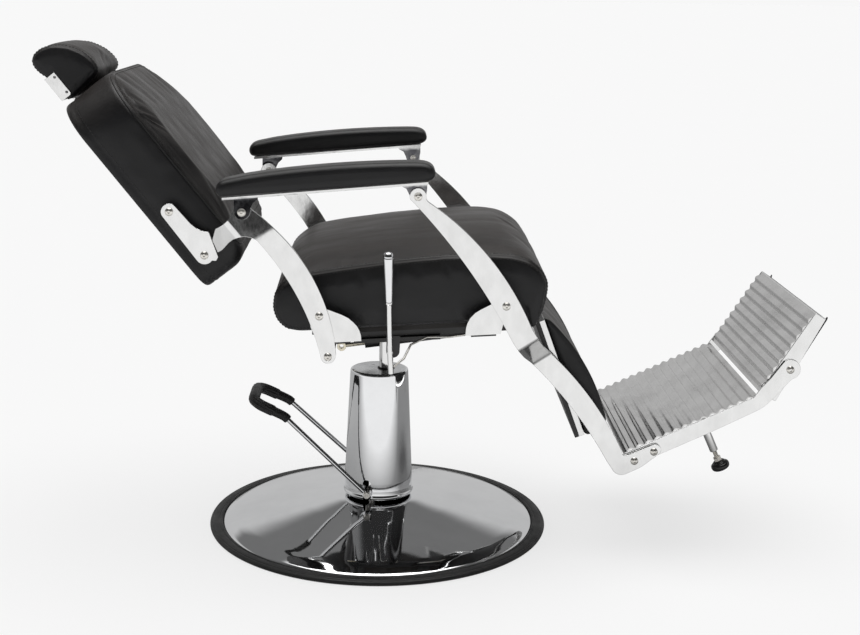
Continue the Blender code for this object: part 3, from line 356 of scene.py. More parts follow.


# The third colour of each vinyl is the painted sheen on its up-facing tops.
VINYL = make_vinyl("vinyl", (0.0050, 0.0050, 0.0060), (0.0080, 0.0078, 0.0084), (0.0225, 0.0185, 0.0160))
PAD_SKIN = make_vinyl("arm_pad_skin", (0.0055, 0.0055, 0.0064), (0.0080, 0.0078, 0.0084),
                      (0.0125, 0.0115, 0.0110))
THREAD = make_coat("thread", (0.010, 0.010, 0.011), (0.030, 0.029, 0.028), 0.65, 2500.0, 0.0001)
CHROME = make_chrome("chrome", (0.86, 0.865, 0.875), 0.035, 0.10, 0.020)
CAP_METAL = make_chrome("cap_metal", (0.70, 0.71, 0.72), 0.20, 0.05, 0.05)
ROD_CHROME = make_chrome("rod_chrome", (0.84, 0.84, 0.835), 0.07, 0.06, 0.03)
PLATED = make_plate_steel()
RAIL_METAL = make_rail_steel()
RIBBED = make_rib_metal()
BOLT_METAL = make_coat("bolt_metal", (0.88, 0.86, 0.81), (0.74, 0.71, 0.66), 0.33, 900.0, 0.00005, 1.0)
DARK_SCREW = make_coat("dark_screw", (0.22, 0.22, 0.23), (0.40, 0.39, 0.38), 0.35, 900.0, 0.00005, 1.0)
ZINC = make_coat("yellow_zinc", (0.78, 0.72, 0.55), (0.62, 0.60, 0.56), 0.27, 700.0, 0.00005, 1.0)
BLACK_STEEL = make_coat("black_steel", (0.016, 0.016, 0.017), (0.045, 0.044, 0.043), 0.42, 1500.0,
                        0.00008)
RUBBER = make_coat("rubber", (0.010, 0.010, 0.010), (0.026, 0.025, 0.024), 0.52, 1800.0, 0.00010)
FOOT_RUBBER = make_coat("foot_rubber", (0.008, 0.008, 0.008), (0.014, 0.014, 0.014), 0.22, 900.0,
                        0.00005)
PLYWOOD = make_plywood()


# ---- shared modelling tools --------------------------------------------------------
def linked(name, data):
    obj = bpy.data.objects.new(name, data)
    bpy.context.scene.collection.objects.link(obj)
    return obj


def from_bmesh(name, bm):
    bmesh.ops.recalc_face_normals(bm, faces=bm.faces)
    mesh = bpy.data.meshes.new(name)
    bm.to_mesh(mesh)
    bm.free()
    return linked(name, mesh)


def piece(obj, body, mat, slot, node=None, smooth=35.0, weighted=False):
    """Give a piece its material and shading, and let it ride on its body."""
    obj.data.materials.clear()
    obj.data.materials.append(mat)
    obj.data.shade_smooth()
    obj.data.set_sharp_from_angle(angle=math.radians(smooth))
    if weighted:
        obj.data.set_sharp_from_angle(angle=math.radians(75.0))
        obj.modifiers.new("flat_faces", "WEIGHTED_NORMAL").keep_sharp = True
    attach(obj, body)
    if node is not None:
        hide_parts(node)
    return obj


def mirrored(obj, name):
    mesh = obj.data.copy()
    mesh.transform(Matrix.Scale(-1.0, 4, (0, 1, 0)))
    mesh.flip_normals()
    return linked(name, mesh)


def pair(obj, stem, body, mat, slot, node=None, **shading):
    """A right-hand piece and its left-hand twin. body and node may end in {}."""
    obj.name = "look_" + stem + "_right"
    for side, made in (("right", obj), ("left", mirrored(obj, "look_" + stem + "_left"))):
        stands_for = None if node is None else node.format(side)
        piece(made, body.format(side), mat, slot, stands_for, **shading)


def arc(centre, radius, start, end, steps):
    points = []
    for i in range(steps + 1):
        a = math.radians(start + (end - start) * i / steps)
        points.append((centre[0] + radius * math.cos(a), centre[1] + radius * math.sin(a)))
    return points


def angle_to(centre, point):
    return math.degrees(math.atan2(point[1] - centre[1], point[0] - centre[0]))


def rounded(points, radius, steps=4, closed=True):
    """An outline with every corner replaced by a short curve."""
    made = []
    count = len(points)
    for i in range(count):
        if not closed and i in (0, count - 1):
            made.append(Vector(points[i]))
            continue
        here = Vector(points[i])
        before = Vector(points[i - 1]) - here
        after = Vector(points[(i + 1) % count]) - here
        start = here + before.normalized() * min(radius, before.length * 0.48)
        end = here + after.normalized() * min(radius, after.length * 0.48)
        for k in range(steps + 1):
            t = k / steps
            made.append((1 - t) ** 2 * start + 2 * t * (1 - t) * here + t * t * end)
    return made


def clamped(value):
    return min(max(value, 0.0), 1.0)


def distances(points):
    """How far along a line each of its points is."""
    reach = [0.0]
    for a, b in zip(points, points[1:]):
        reach.append(reach[-1] + (b - a).length)
    return reach


def even(points, count, closed=False):
    """The same line with its points evenly spaced."""
    line = [Vector(p) for p in points]
    if closed:
        line.append(line[0])
    reach = distances(line)
    made = []
    k = 0
    for i in range(count):
        s = reach[-1] * i / (count if closed else count - 1)
        while k < len(line) - 2 and reach[k + 1] < s:
            k += 1
        t = (s - reach[k]) / max(reach[k + 1] - reach[k], 1e-9)
        made.append(line[k].lerp(line[k + 1], clamped(t)))
    return made


def inset_outline(points, inset):
    """A flat outline moved inwards along its own normals."""
    count = len(points)
    area = sum(points[i - 1][0] * points[i][1] - points[i][0] * points[i - 1][1] for i in range(count))
    sign = 1.0 if area > 0 else -1.0
    made = []
    for i in range(count):
        a = (Vector(points[i]) - Vector(points[i - 1])).normalized()
        b = (Vector(points[(i + 1) % count]) - Vector(points[i])).normalized()
        normal = Vector((a.y + b.y, -a.x - b.x)) * sign
        length = max(normal.length, 1e-6)
        reach = min(2.0 / length, 1.6)
        made.append(Vector(points[i]) - normal / length * inset * reach)
    return made


def skin(bm, rows, looped=False, capped=True):
    """Faces between rows of equal vertex counts, every row a ring, with or without end caps."""
    count = len(rows[0])
    for near, far in zip(rows, rows[1:] + rows[:1] if looped else rows[1:]):
        for i in range(count):
            j = (i + 1) % count
            bm.faces.new((near[i], near[j], far[j], far[i]))
    if capped:
        bm.faces.new(rows[0])
        bm.faces.new(list(reversed(rows[-1])))


def stacked(name, layers, looped=False):
    """A closed solid through rings of equal point counts, capped unless it is a loop."""
    bm = bmesh.new()
    skin(bm, [[bm.verts.new(p) for p in ring] for ring in layers], looped, not looped)
    return from_bmesh(name, bm)


def plate(name, outline, y_low, y_high, edge=0.0007, corner=0.0016):
    """A flat plate in X and Z with rounded rims."""
    line = rounded(outline, corner)
    layers = [(y_low + depth * edge, inset * edge) for depth, inset in ((0.0, 1.0), (0.3, 0.3), (1.0, 0.0))]
    layers += [(y_high - (y - y_low), inset) for y, inset in reversed(layers)]
    rings = [[(p.x, y, p.y) for p in inset_outline(line, inset)] for y, inset in layers]
    return stacked(name, rings)


def turned(name, profile, steps, matrix=Matrix.Identity(4), closed=False):
    """A turned solid from (radius, height) points down its outer side."""
    bm = bmesh.new()
    rows = []
    for r, z in profile:
        if r < 1e-7:
            rows.append([bm.verts.new((0, 0, z))])
            continue
        ring = []
        for i in range(steps):
            a = 2 * math.pi * i / steps
            ring.append(bm.verts.new((r * math.cos(a), r * math.sin(a), z)))
        rows.append(ring)
    links = list(zip(rows, rows[1:]))
    if closed:
        links.append((rows[-1], rows[0]))
    for near, far in links:
        for i in range(steps):
            j = (i + 1) % steps
            corners = [near[i % len(near)], near[j % len(near)], far[j % len(far)], far[i % len(far)]]
            unique = list(dict.fromkeys(corners))
            if len(unique) > 2:
                bm.faces.new(unique)
    bmesh.ops.transform(bm, matrix=matrix, verts=bm.verts)
    return from_bmesh(name, bm)


def sweep(name, path, radius, sides=20, closed=False):
    """A round bar along 3-D points; radius is a number or a rule of (share of length, angle)."""
    path = [Vector(p) for p in path]
    count = len(path)
    reach = distances(path)
    normal = None
    rings = []
    for i, here in enumerate(path):
        before = path[i - 1] if (i or closed) else here
        after = path[(i + 1) % count] if (i < count - 1 or closed) else here
        along = (after - before).normalized()
        if normal is None:
            normal = along.orthogonal().normalized()
        normal = (normal - along * normal.dot(along)).normalized()
        other = along.cross(normal)
        ring = []
        for k in range(sides):
            a = 2 * math.pi * k / sides
            r = radius(reach[i] / reach[-1], a) if callable(radius) else radius
            ring.append(here + (normal * math.cos(a) + other * math.sin(a)) * r)
        rings.append(ring)
    return stacked(name, rings, closed)


def smooth_path(points, count, radius):
    return even(rounded(points, radius, 8, False), count)


def applied(obj):
    """A piece with its modifiers worked into its mesh."""
    graph = bpy.context.evaluated_depsgraph_get()
    mesh = bpy.data.meshes.new_from_object(obj.evaluated_get(graph))
    obj.modifiers.clear()
    obj.data = mesh
    return obj


def cut_out(obj, other):
    mod = obj.modifiers.new("cut", "BOOLEAN")
    mod.operation = "DIFFERENCE"
    mod.solver = "EXACT"
    mod.object = other
    bpy.context.view_layer.update()
    applied(obj)
    bpy.data.objects.remove(other, do_unlink=True)
    return obj


def joined(first, *others):
    """Several loose meshes as one piece."""
    bm = bmesh.new()
    for obj in (first, *others):
        bm.from_mesh(obj.data)
    bm.to_mesh(first.data)
    bm.free()
    for obj in others:
        bpy.data.objects.remove(obj, do_unlink=True)
    return first


def reshape(obj, cuts, rule):
    """Slice a mesh at planes (point, normal) and move every vertex by a rule."""
    bm = bmesh.new()
    bm.from_mesh(obj.data)
    for point, normal in cuts:
        everything = bm.verts[:] + bm.edges[:] + bm.faces[:]
        bmesh.ops.bisect_plane(bm, geom=everything, plane_co=point, plane_no=normal)
    for vert in bm.verts:
        vert.co = rule(vert.co)
    bm.to_mesh(obj.data)
    bm.free()
    return obj


def sideways(place, y=0.0):
    """Lays a piece that points up +Z along +Y, at a place in X and Z."""
    return Matrix.Translation((place[0], y, place[1])) @ Matrix.Rotation(-math.pi / 2, 4, "X")


def pin(name, centre, radius, y_low, y_high, steps=32, edge=0.0005):
    profile = [(0, y_high), (radius - edge, y_high), (radius, y_high - edge),
               (radius, y_low + edge), (radius - edge, y_low), (0, y_low)]
    return turned(name, profile, steps, sideways(centre))


def on_back(u, n):
    x = BACK_FOOT[0] - u * math.sin(BACK_ANGLE) + n * math.cos(BACK_ANGLE)
    z = BACK_FOOT[1] + u * math.cos(BACK_ANGLE) + n * math.sin(BACK_ANGLE)
    return (x, z)


def on_slope(start, angle, s, h):
    x = start[0] + s * math.cos(angle) - h * math.sin(angle)
    z = start[1] + s * math.sin(angle) + h * math.cos(angle)
    return (x, z)


def on_calf(s, h):
    x = CALF_TOP[0] + s * math.cos(CALF_ANGLE) + h * math.sin(CALF_ANGLE)
    z = CALF_TOP[1] - s * math.sin(CALF_ANGLE) + h * math.cos(CALF_ANGLE)
    return (x, z)


# ---- bolts -------------------------------------------------------------------------
def bolt_mesh():
    """A button-head bolt's head with its hexagon socket, pointing up +Z, foot at 0."""
    dome = [(0, 0.0040)] + arc((0.0, -0.0062), 0.0102, 76, 46, 6)
    profile = dome + [(HEAD_R, 0.0008), (HEAD_R - 0.0003, 0.0002), (HEAD_R - 0.0008, 0.0), (0, 0.0)]
    head = turned("bolt", profile, 40)
    socket = turned("socket", [(0, 0.006), (0.0027, 0.006), (0.0026, 0.0014), (0, 0.0008)], 6)
    cut_out(head, socket)
    mesh = head.data
    bpy.data.objects.remove(head, do_unlink=True)
    return mesh


BOLT = bolt_mesh()


def bolt(name, body, place, face_y, side, size=1.0, node=None, turn=0.3, mat=BOLT_METAL):
    """A bolt head on the outer face at face_y of the right (-1) or left (+1) side."""
    mesh = BOLT.copy()
    matrix = (Matrix.Translation((place[0], side * abs(face_y), place[1]))
              @ Matrix.Rotation(-side * math.pi / 2, 4, "X")
              @ Matrix.Rotation(turn, 4, "Z") @ Matrix.Scale(size, 4))
    mesh.transform(matrix)
    return piece(linked(name, mesh), body, mat, "zinc_bolt", node, 30.0)


def make_bolts():
    knot_y = BAR_Y - 0.0021
    rows = (("rear_pivot_bolt", "seat", REAR_PIVOT, BAR_Y + 0.0004, True),
            ("front_pivot_bolt", "seat", FRONT_PIVOT, BAR_Y + 0.0004, True),
            ("arm_pivot_bolt", "rear_frame", REAR_ARM_PIVOT, knot_y, True),
            ("front_arm_bolt", "front_frame", FRONT_ARM_PIVOT, BAR_Y + 0.0002, False),
            ("back_bolt_upper", "rear_frame", HINGE_TOP, HINGE_Y + 0.0004, True),
            ("back_bolt_lower", "rear_frame", HINGE_LOW, HINGE_Y + 0.0004, True),
            ("tube_bolt", "rear_frame", REAR_LOW, BAR_Y + 0.0004, False),
            ("foot_bolt_rear", "front_frame", FOOT_BOLTS[0], LEG_Y, False),
            ("foot_bolt_front", "front_frame", FOOT_BOLTS[1], LEG_Y, False),
            ("flip_bolt", "flip_plate", FLIP_PIVOT, 0.2000, False))
    for count, (stem, body, place, face_y, replaced) in enumerate(rows):
        for side, label in SIDES:
            node = f"{stem}_{label}" if replaced else None
            bolt(f"look_{stem}_{label}", body, place, face_y, side, node=node,
                 turn=0.4 + 0.55 * count)


def make_arm_nuts():
    """The inner ends of the armrests' pivot bolts."""
    for stem, body, place, y in (("front_arm_nut", "front_frame", FRONT_ARM_PIVOT, 0.2790),
                                 ("rear_arm_nut", "rear_frame", REAR_ARM_PIVOT, 0.2742)):
        profile = [(0, 0.0062), (0.0032, 0.0058), (0.0034, 0.0046), (0.0054, 0.0044), (0.0062, 0.0036),
                   (0.0062, 0.0006), (0, 0.0006)]
        pair(turned("nut", profile, 6, sideways(place, -y)), stem, body, BOLT_METAL, "zinc_bolt", smooth=25.0)


# ---- base and pump -----------------------------------------------------------------
def make_base():
    ring = [(0.3050, 0.0075), (0.3050, 0.0100), (0.3060, 0.0112), (0.3080, 0.0118), (0.3096, 0.0116),
            (0.3104, 0.0107), (0.3114, 0.0105), (0.3122, 0.0113), (0.3180, 0.0112), (0.3228, 0.0107),
            (0.3238, 0.0097), (0.3248, 0.0096), (0.3257, 0.0100), (0.3284, 0.0086), (0.3297, 0.0064),
            (0.3300, 0.0048), (0.3290, 0.0020), (0.3262, 0.0), (0.3022, 0.0), (0.3020, 0.0075)]
    piece(turned("look_base_ring", rounded(ring, 0.0008, 2), 180, closed=True), "base", RUBBER,
          "rubber", "base_ring", 50.0)

    outer = [(NECK_R + 0.0003, 0.0600), (0.0800, 0.0560), (0.1400, 0.0462), (0.2730, 0.0229),
             (0.2850, 0.0200), (0.3000, 0.0128), (0.3034, 0.0105), (0.3045, 0.0082)]
    inner = [(0.3010, 0.0080), (0.2840, 0.0165), (0.2700, 0.0195), (NECK_R + 0.0003, 0.0565)]
    line = even(rounded(outer, 0.0045, 5, closed=False), 80)
    piece(turned("look_base_dish", line + [Vector(p) for p in inner], 240, closed=True), "base",
          CHROME, "chrome", "base_dish", 40.0)


def make_pump():
    neck = [(0, 0.1000), (NECK_R - 0.0015, 0.1000), (NECK_R, 0.0985), (NECK_R, 0.0105), (0, 0.0105)]
    piece(turned("look_pump_neck", neck, 128), "base", CHROME, "chrome", "pump_cylinder", 40.0)

    cover = [(0.0200, 0.3112), (0.0200, 0.3128), (0.0520, 0.3130), (0.0545, 0.3124), (0.0556, 0.3108),
             (0.0561, 0.3080), (0.0660, 0.0960), (0.0663, 0.0800), (0.0670, 0.0730), (0.0684, 0.0700),
             (0.0686, 0.0680), (0.0678, 0.0655), (0.0660, 0.0635), (0.0642, 0.0635), (0.0640, 0.1000),
             (0.0545, 0.3060), (0.0530, 0.3095), (0.0500, 0.3112)]
    shell = turned("look_column_cover", rounded(cover, 0.0012, 3), 160, closed=True)
    slot = plate("slot", [(LEVER_PIVOT[0] - 0.0078, 0.060), (LEVER_PIVOT[0] + 0.0078, 0.060)]
                 + arc((LEVER_PIVOT[0], 0.0965), 0.0078, 0, 180, 8), -0.09, 0.09, 0.0002, 0.0005)
    piece(cut_out(shell, slot), "base", CHROME, "chrome", "column_cover", 40.0)

    cap = turned("look_cover_cap", [(0, 0.3133), (0.0508, 0.3133), (0.0516, 0.3128), (0.0516, 0.3118),
                                    (0, 0.3118)], 96)
    for place, radius in (((PISTON_X, 0.0), PISTON_R + 0.0014), ((-0.012, 0.022), 0.0032)):
        hole = turned("hole", [(0, 0.33), (radius, 0.33), (radius, 0.30), (0, 0.30)], 40,
                      Matrix.Translation((place[0], place[1], 0)))
        cut_out(cap, hole)
    piece(cap, "base", CAP_METAL, "chrome", None, 30.0)
    seal = [(PISTON_R + 0.0004, 0.3120), (PISTON_R + 0.0004, 0.3150), (PISTON_R + 0.0012, 0.3158),
            (PISTON_R + 0.0030, 0.3142), (PISTON_R + 0.0034, 0.3128), (PISTON_R + 0.0013, 0.3120)]
    piece(turned("look_piston_seal", seal, 48, Matrix.Translation((PISTON_X, 0, 0)), closed=True),
          "base", RUBBER, "rubber")

    rod = [(0, PISTON_TOP), (PISTON_R - 0.0015, PISTON_TOP), (PISTON_R, PISTON_TOP - 0.0015),
           (PISTON_R, 0.1360), (PISTON_R - 0.0015, 0.1345), (0, 0.1345)]
    piece(turned("look_piston", rod, 64, Matrix.Translation((PISTON_X, 0, 0))), "lift", ROD_CHROME,
          "chrome", "piston")


def lever_half():
    """The right half of the U-shaped lever: up from the pivot, a flatter end, half the loop."""
    start = Vector((LEVER_PIVOT[0], -0.0735, LEVER_PIVOT[1]))
    knee = Vector((LEVER_KNEE[0], -0.0585, LEVER_KNEE[1]))
    loop = Vector((LEVER_LOOP[0], -0.0570, LEVER_LOOP[1]))
    direction = (loop - knee).normalized()
    direction.y = 0
    bend = 0.024
    points = [start, start.lerp(knee, 0.24) + Vector((0, -0.0005, 0)), knee]
    centre = loop - direction * bend + Vector((0, bend, 0))
    for i in range(13):
        a = math.pi / 2 * i / 12
        points.append(centre + direction * bend * math.sin(a) - Vector((0, 1, 0)) * bend * math.cos(a))
    return points


def lever_pins(near, far, radius, steps, edge):
    """A short pin on each side of the lever's pivot, from near to far off the middle."""
    made = []
    for side, label in SIDES:
        low, high = sorted((side * near, side * far))
        made.append(pin("pin_" + label, LEVER_PIVOT, radius, low, high, steps, edge))
    return made


def make_pump_lever():
    half = lever_half()
    whole = half + [Vector((p.x, -p.y, p.z)) for p in reversed(half)]
    rod = sweep("look_pump_lever", smooth_path(whole, 160, 0.012), 0.0046, 24)
    hubs = lever_pins(0.0690, 0.0780, 0.0085, 40, 0.0010)
    piece(joined(rod, *hubs), "pump_lever", CHROME, "chrome", "pump_lever", 40.0)

    back_down = (half[1] - half[2]).normalized()
    sleeve_half = [half[2] + back_down * 0.010] + half[2:]
    sleeve = sleeve_half + [Vector((p.x, -p.y, p.z)) for p in reversed(sleeve_half)]

    def fluted(t, a):
        """Plain mouths, a step, then long flutes round the bends."""
        end = min(t, 1 - t)
        if end < 0.008:
            return 0.0072 + 0.0014 * math.sqrt(end / 0.008)
        if end < 0.13:
            return 0.0086 + 0.0004 * (end / 0.13)
        ramp = min((end - 0.13) / 0.012, 1.0)
        return 0.0090 + ramp * (0.0012 + 0.0004 * math.cos(14 * a))

    grip = sweep("look_pedal_grip", smooth_path(sleeve, 300, 0.012), fluted, 84)
    piece(grip, "pump_lever", RUBBER, "rubber", "pedal_grip", 60.0)

    shaft = pin("look_lever_shaft", LEVER_PIVOT, 0.0049, -0.0800, 0.0800, 32)
    heads = lever_pins(0.0786, 0.0826, 0.0065, 40, 0.0008)
    heads += lever_pins(0.0822, 0.0829, 0.0022, 24, 0.0002)
    piece(joined(shaft, *heads), "base", BOLT_METAL, "zinc_bolt", "lever_shaft")


# ---- metal frame -------------------------------------------------------------------
def soft_ramp(s, width):
    """0 before s 0, s after it, rounded over width on both sides."""
    if s <= -width:
        return 0.0
    if s >= width:
        return s
    return (s + width) ** 2 / (4 * width)


def bend_cuts(point, normal, shift, width, steps=6):
    cuts = []
    n = Vector((normal[0], 0, normal[1])).normalized()
    for i in range(steps + 1):
        offset = shift + width * (2 * i / steps - 1)
        cuts.append((Vector((point[0], 0, point[1])) + n * offset, n))
    return cuts, n


def rear_bar_outline():
    outer = (-0.4058, 0.3888)
    inner = (-0.5500, 0.2984)
    points = arc(outer, 0.3326, angle_to(outer, (-0.0745, 0.4121)),
                 angle_to(outer, (-0.2176, 0.6648)), 30)
    points += arc((-0.2340, 0.6590), 0.0160, 30, 150, 10)
    points += [(-0.2560, 0.6470), (-0.2650, 0.6372), (-0.2740, 0.6305), (-0.2815, 0.6262),
               (-0.2880, 0.6050), (-0.2790, 0.5830), (-0.2700, 0.5895), (-0.2584, 0.6031),
               (-0.2500, 0.6105), (-0.2400, 0.6150), (-0.2300, 0.6172), (-0.2195, 0.6160)]
    points += arc(inner, 0.4630, angle_to(inner, (-0.2087, 0.6121)),
                  angle_to(inner, (-0.1000, 0.4090)), 26)
    points += arc(REAR_LOW, 0.0125, 195, 345, 12)
    return points


def make_rear_bars():
    bar = plate("rear_bar", rear_bar_outline(), -BAR_Y, -BAR_Y + BAR_T, 0.0008, 0.0022)
    for point, normal, slope, x_limit, width in (((-0.1960, 0.6198), (-0.549, 0.836), 0.18, -0.150, 0.007),
                                                 ((-0.2517, 0.6288), (-0.754, -0.656), 0.66, -0.220, 0.006)):
        cuts, n = bend_cuts(point, normal, 0.0, width)
        start = Vector((point[0], 0, point[1]))

        def lean(co):
            if co.x > x_limit:
                return co
            s = (Vector((co.x, 0, co.z)) - start).dot(n)
            return co + Vector((0, slope * soft_ramp(s, width), 0))

        reshape(bar, cuts, lean)
    pair(bar, "rear_bar", "rear_frame", PLATED, "polished_steel", "rear_bar_{}", weighted=True)


JOGGLE_TOP = (0.2590, 0.4335)
JOGGLE_NORMAL = (0.551, -0.835)
JOGGLE_LENGTH = 0.0559


def front_bar_outline():
    right = (-0.1918, 0.2676)
    left = (-0.6976, -0.0521)
    leg_right = (-0.1023, -0.0506)
    leg_left = (-0.2769, -0.1997)
    points = arc(right, 0.4960, angle_to(right, (0.0790, 0.6835)),
                 angle_to(right, (0.2657, 0.4641)), 24)
    points += [(0.2770, 0.4425), (0.2900, 0.4210)]
    points += arc(leg_right, 0.6082, angle_to(leg_right, (0.3071, 0.4002)),
                  angle_to(leg_right, (0.4451, 0.2138)), 22)
    points += [(0.4465, 0.2090), (0.4500, 0.2065), (0.4545, 0.2063), (0.5030, 0.2275)]
    points += arc((0.5070, 0.2175), 0.0105, 80, -60, 8)
    points += [(0.4826, 0.1844), (0.4560, 0.1714)]
    points += arc((0.4465, 0.1890), 0.0200, -70, -155, 10)
    points += arc(leg_left, 0.7995, angle_to(leg_left, (0.4175, 0.1960)),
                  angle_to(leg_left, (0.2764, 0.3765)), 22)
    points += [(0.2560, 0.4010), (0.2420, 0.4225)]
    points += arc(left, 1.0506, angle_to(left, (0.2310, 0.4390)),
                  angle_to(left, (0.0510, 0.6850)), 26)
    points += arc(FRONT_ARM_PIVOT, 0.0145, 195, 20, 14)
    return points


def make_front_bars():
    bar = plate("front_bar", front_bar_outline(), -BAR_Y, -BAR_Y + BAR_T, 0.0008, 0.004)
    slope = (BAR_Y - LEG_Y) / JOGGLE_LENGTH
    lead = BAR_T * (math.sqrt(1 + slope * slope) - 1) / slope
    width = 0.0050
    cuts = []
    for shift in (-lead / 2, JOGGLE_LENGTH - lead / 2):
        more, n = bend_cuts(JOGGLE_TOP, JOGGLE_NORMAL, shift, width + lead / 2, 9)
        cuts += more
    start = Vector((JOGGLE_TOP[0], 0, JOGGLE_TOP[1]))

    def joggle(co):
        ahead = lead * clamped((co.y + BAR_Y) / BAR_T)
        s = (Vector((co.x, 0, co.z)) - start).dot(n) + ahead
        shift = soft_ramp(s, width) - soft_ramp(s - JOGGLE_LENGTH, width)
        return co + Vector((0, slope * shift, 0))

    reshape(bar, cuts, joggle)
    pair(bar, "front_bar", "front_frame", PLATED, "polished_steel", "front_bar_{}", weighted=True)


def ribbed_sheet(name, start, angle, length, first, count, half):
    """Rolled sheet of one thickness whose ribs are an even wave across its length."""
    top = [(0.0, 0.0)]
    samples = 14
    for rib in range(count):
        for i in range(samples):
            s = first + RIB_PITCH * (rib + i / samples)
            wave = 0.5 - 0.5 * math.cos(2 * math.pi * i / samples)
            top.append((s, RIB_HEIGHT * (0.75 * wave + 0.25 * math.sin(math.pi * i / samples))))
    end = first + RIB_PITCH * count
    top += [(end, 0.0), (length, 0.0)]
    bottom = [(s, h - 0.0028) for s, h in reversed(top)]
    ring = [on_slope(start, angle, s, h) for s, h in top + bottom]
    spans = [-half, -half + 0.0006] + [half * (i / 6 - 1) for i in range(1, 12)] + [half - 0.0006, half]
    return stacked(name, [[(x, y, z) for x, z in ring] for y in spans])


def make_footplate():
    sheet = ribbed_sheet("look_footplate", PLATE_START, PLATE_ANGLE, PLATE_LENGTH, 0.006, 14,
                         PLATE_HALF - 0.0010)
    piece(sheet, "front_frame", RIBBED, "ribbed_metal", "footplate", 35.0)
    flange = [on_slope(PLATE_START, PLATE_ANGLE, 0.002, -0.0008),
              (0.4600, 0.1850), (0.4900, 0.1955), (0.5206, 0.2092),
              (0.6069, 0.2495), (0.6926, 0.2929), (0.7060, 0.3020), (0.7200, 0.3170),
              (0.7339, 0.3330), (0.7500, 0.3520)]
    flange += arc(FLIP_PIVOT, 0.0190, -50, 130, 16)
    flange += [(0.7120, 0.3540), (0.6960, 0.3360), (0.6880, 0.3250)]
    flange.append(on_slope(PLATE_START, PLATE_ANGLE, PLATE_LENGTH - 0.004, -0.0008))
    side = plate("footplate_flange", flange, -PLATE_HALF, -PLATE_HALF + 0.003, 0.0006, 0.004)
    pair(side, "footplate_flange", "front_frame", PLATED, "ribbed_metal", None, weighted=True)
    strip = [on_slope(PLATE_START, PLATE_ANGLE, s, h) for s, h in
             ((PLATE_LENGTH - 0.0035, 0.0006), (PLATE_LENGTH + 0.0035, 0.0006),
              (PLATE_LENGTH + 0.0035, -0.0020), (PLATE_LENGTH - 0.0035, -0.0020))]
    piece(plate("look_kink_strip", strip, -0.1930, 0.1930, 0.0004, 0.0006), "front_frame", RIBBED,
          "ribbed_metal", None, weighted=True)


def make_flip_plate():
    sheet = ribbed_sheet("look_flip_plate", FLIP_START, FLIP_ANGLE, FLIP_LENGTH, 0.006, 9,
                         FLIP_HALF - 0.0010)
    piece(sheet, "flip_plate", RIBBED, "ribbed_metal", "flip_plate", 35.0)
    lip = [on_slope(FLIP_START, FLIP_ANGLE, FLIP_LENGTH + a, h) for a, h in
           ((0.0, 0.0004), (0.0, -0.0236), (-0.0030, -0.0236), (-0.0030, 0.0004))]
    piece(plate("look_flip_lip", lip, -FLIP_HALF + 0.0002, FLIP_HALF - 0.0002, 0.0005, 0.0008),
          "flip_plate", PLATED, "ribbed_metal", None, weighted=True)
    flange = [on_slope(FLIP_START, FLIP_ANGLE, FLIP_LENGTH - 0.001, 0.0008),
              on_slope(FLIP_START, FLIP_ANGLE, FLIP_LENGTH - 0.001, -0.0240),
              (0.8075, 0.4685), (0.7660, 0.3870), (0.7355, 0.3310), (0.7245, 0.3095),
              (0.7164, 0.3127), (0.7080, 0.3240), on_slope(FLIP_START, FLIP_ANGLE, 0.002, -0.0008)]
    side = plate("flip_flange", flange, -FLIP_HALF, -FLIP_HALF + 0.003, 0.0006, 0.0025)
    pair(side, "flip_flange", "flip_plate", PLATED, "ribbed_metal", None, weighted=True)
    shaft = pin("look_flip_shaft", FLIP_PIVOT, 0.0040, -0.2015, 0.2015)
    piece(shaft, "flip_plate", ROD_CHROME, "zinc_bolt", "flip_shaft")


def make_stop_feet():
    axis = Vector((math.sin(PLATE_ANGLE), 0, -math.cos(PLATE_ANGLE)))
    turn = axis.to_track_quat("Z", "Y").to_matrix().to_4x4()
    x, z = on_slope(PLATE_START, PLATE_ANGLE, 0.1560, -0.0020)
    for side, label in SIDES:
        base = Matrix.Translation((x, side * 0.180, z)) @ turn
        sleeve = [(0.0046, 0.0), (0.0076, 0.0), (0.0076, 0.0685), (0.0070, 0.0698), (0.0046, 0.0698)]
        piece(turned("look_stop_sleeve_" + label, sleeve, 40, base, closed=True), "front_frame",
              ROD_CHROME, "ribbed_metal")
        thread = [(0, 0.0520)]
        for k in range(68):
            thread.append((0.0034 if k % 2 else 0.0041, 0.0522 + 0.0006 * k))
        thread += [(0.0036, 0.0935), (0, 0.0935)]
        rod = turned("thread", thread, 24, base)
        nut = turned("nut", [(0, 0.0830), (0.0066, 0.0830), (0.0076, 0.0838), (0.0076, 0.0905),
                             (0.0066, 0.0912), (0, 0.0912)], 6, base)
        piece(joined(rod, nut), "stop_foot_" + label, BOLT_METAL, "zinc_bolt", None, 25.0).name = (
            "look_stop_screw_" + label)
        disc = [(0, 0.0920), (0.0095, 0.0920), (0.0110, 0.0926), (0.0118, 0.0950), (0.0150, 0.0960),
                (0.0167, 0.0980), (0.0172, 0.1010), (0.0168, 0.1044), (0.0150, 0.1072),
                (0.0110, 0.1085), (0, 0.1085)]
        piece(turned("look_stop_disc_" + label, rounded(disc, 0.002, 3, False), 64, base),
              "stop_foot_" + label, FOOT_RUBBER, "rubber", "stop_foot_" + label, 50.0)


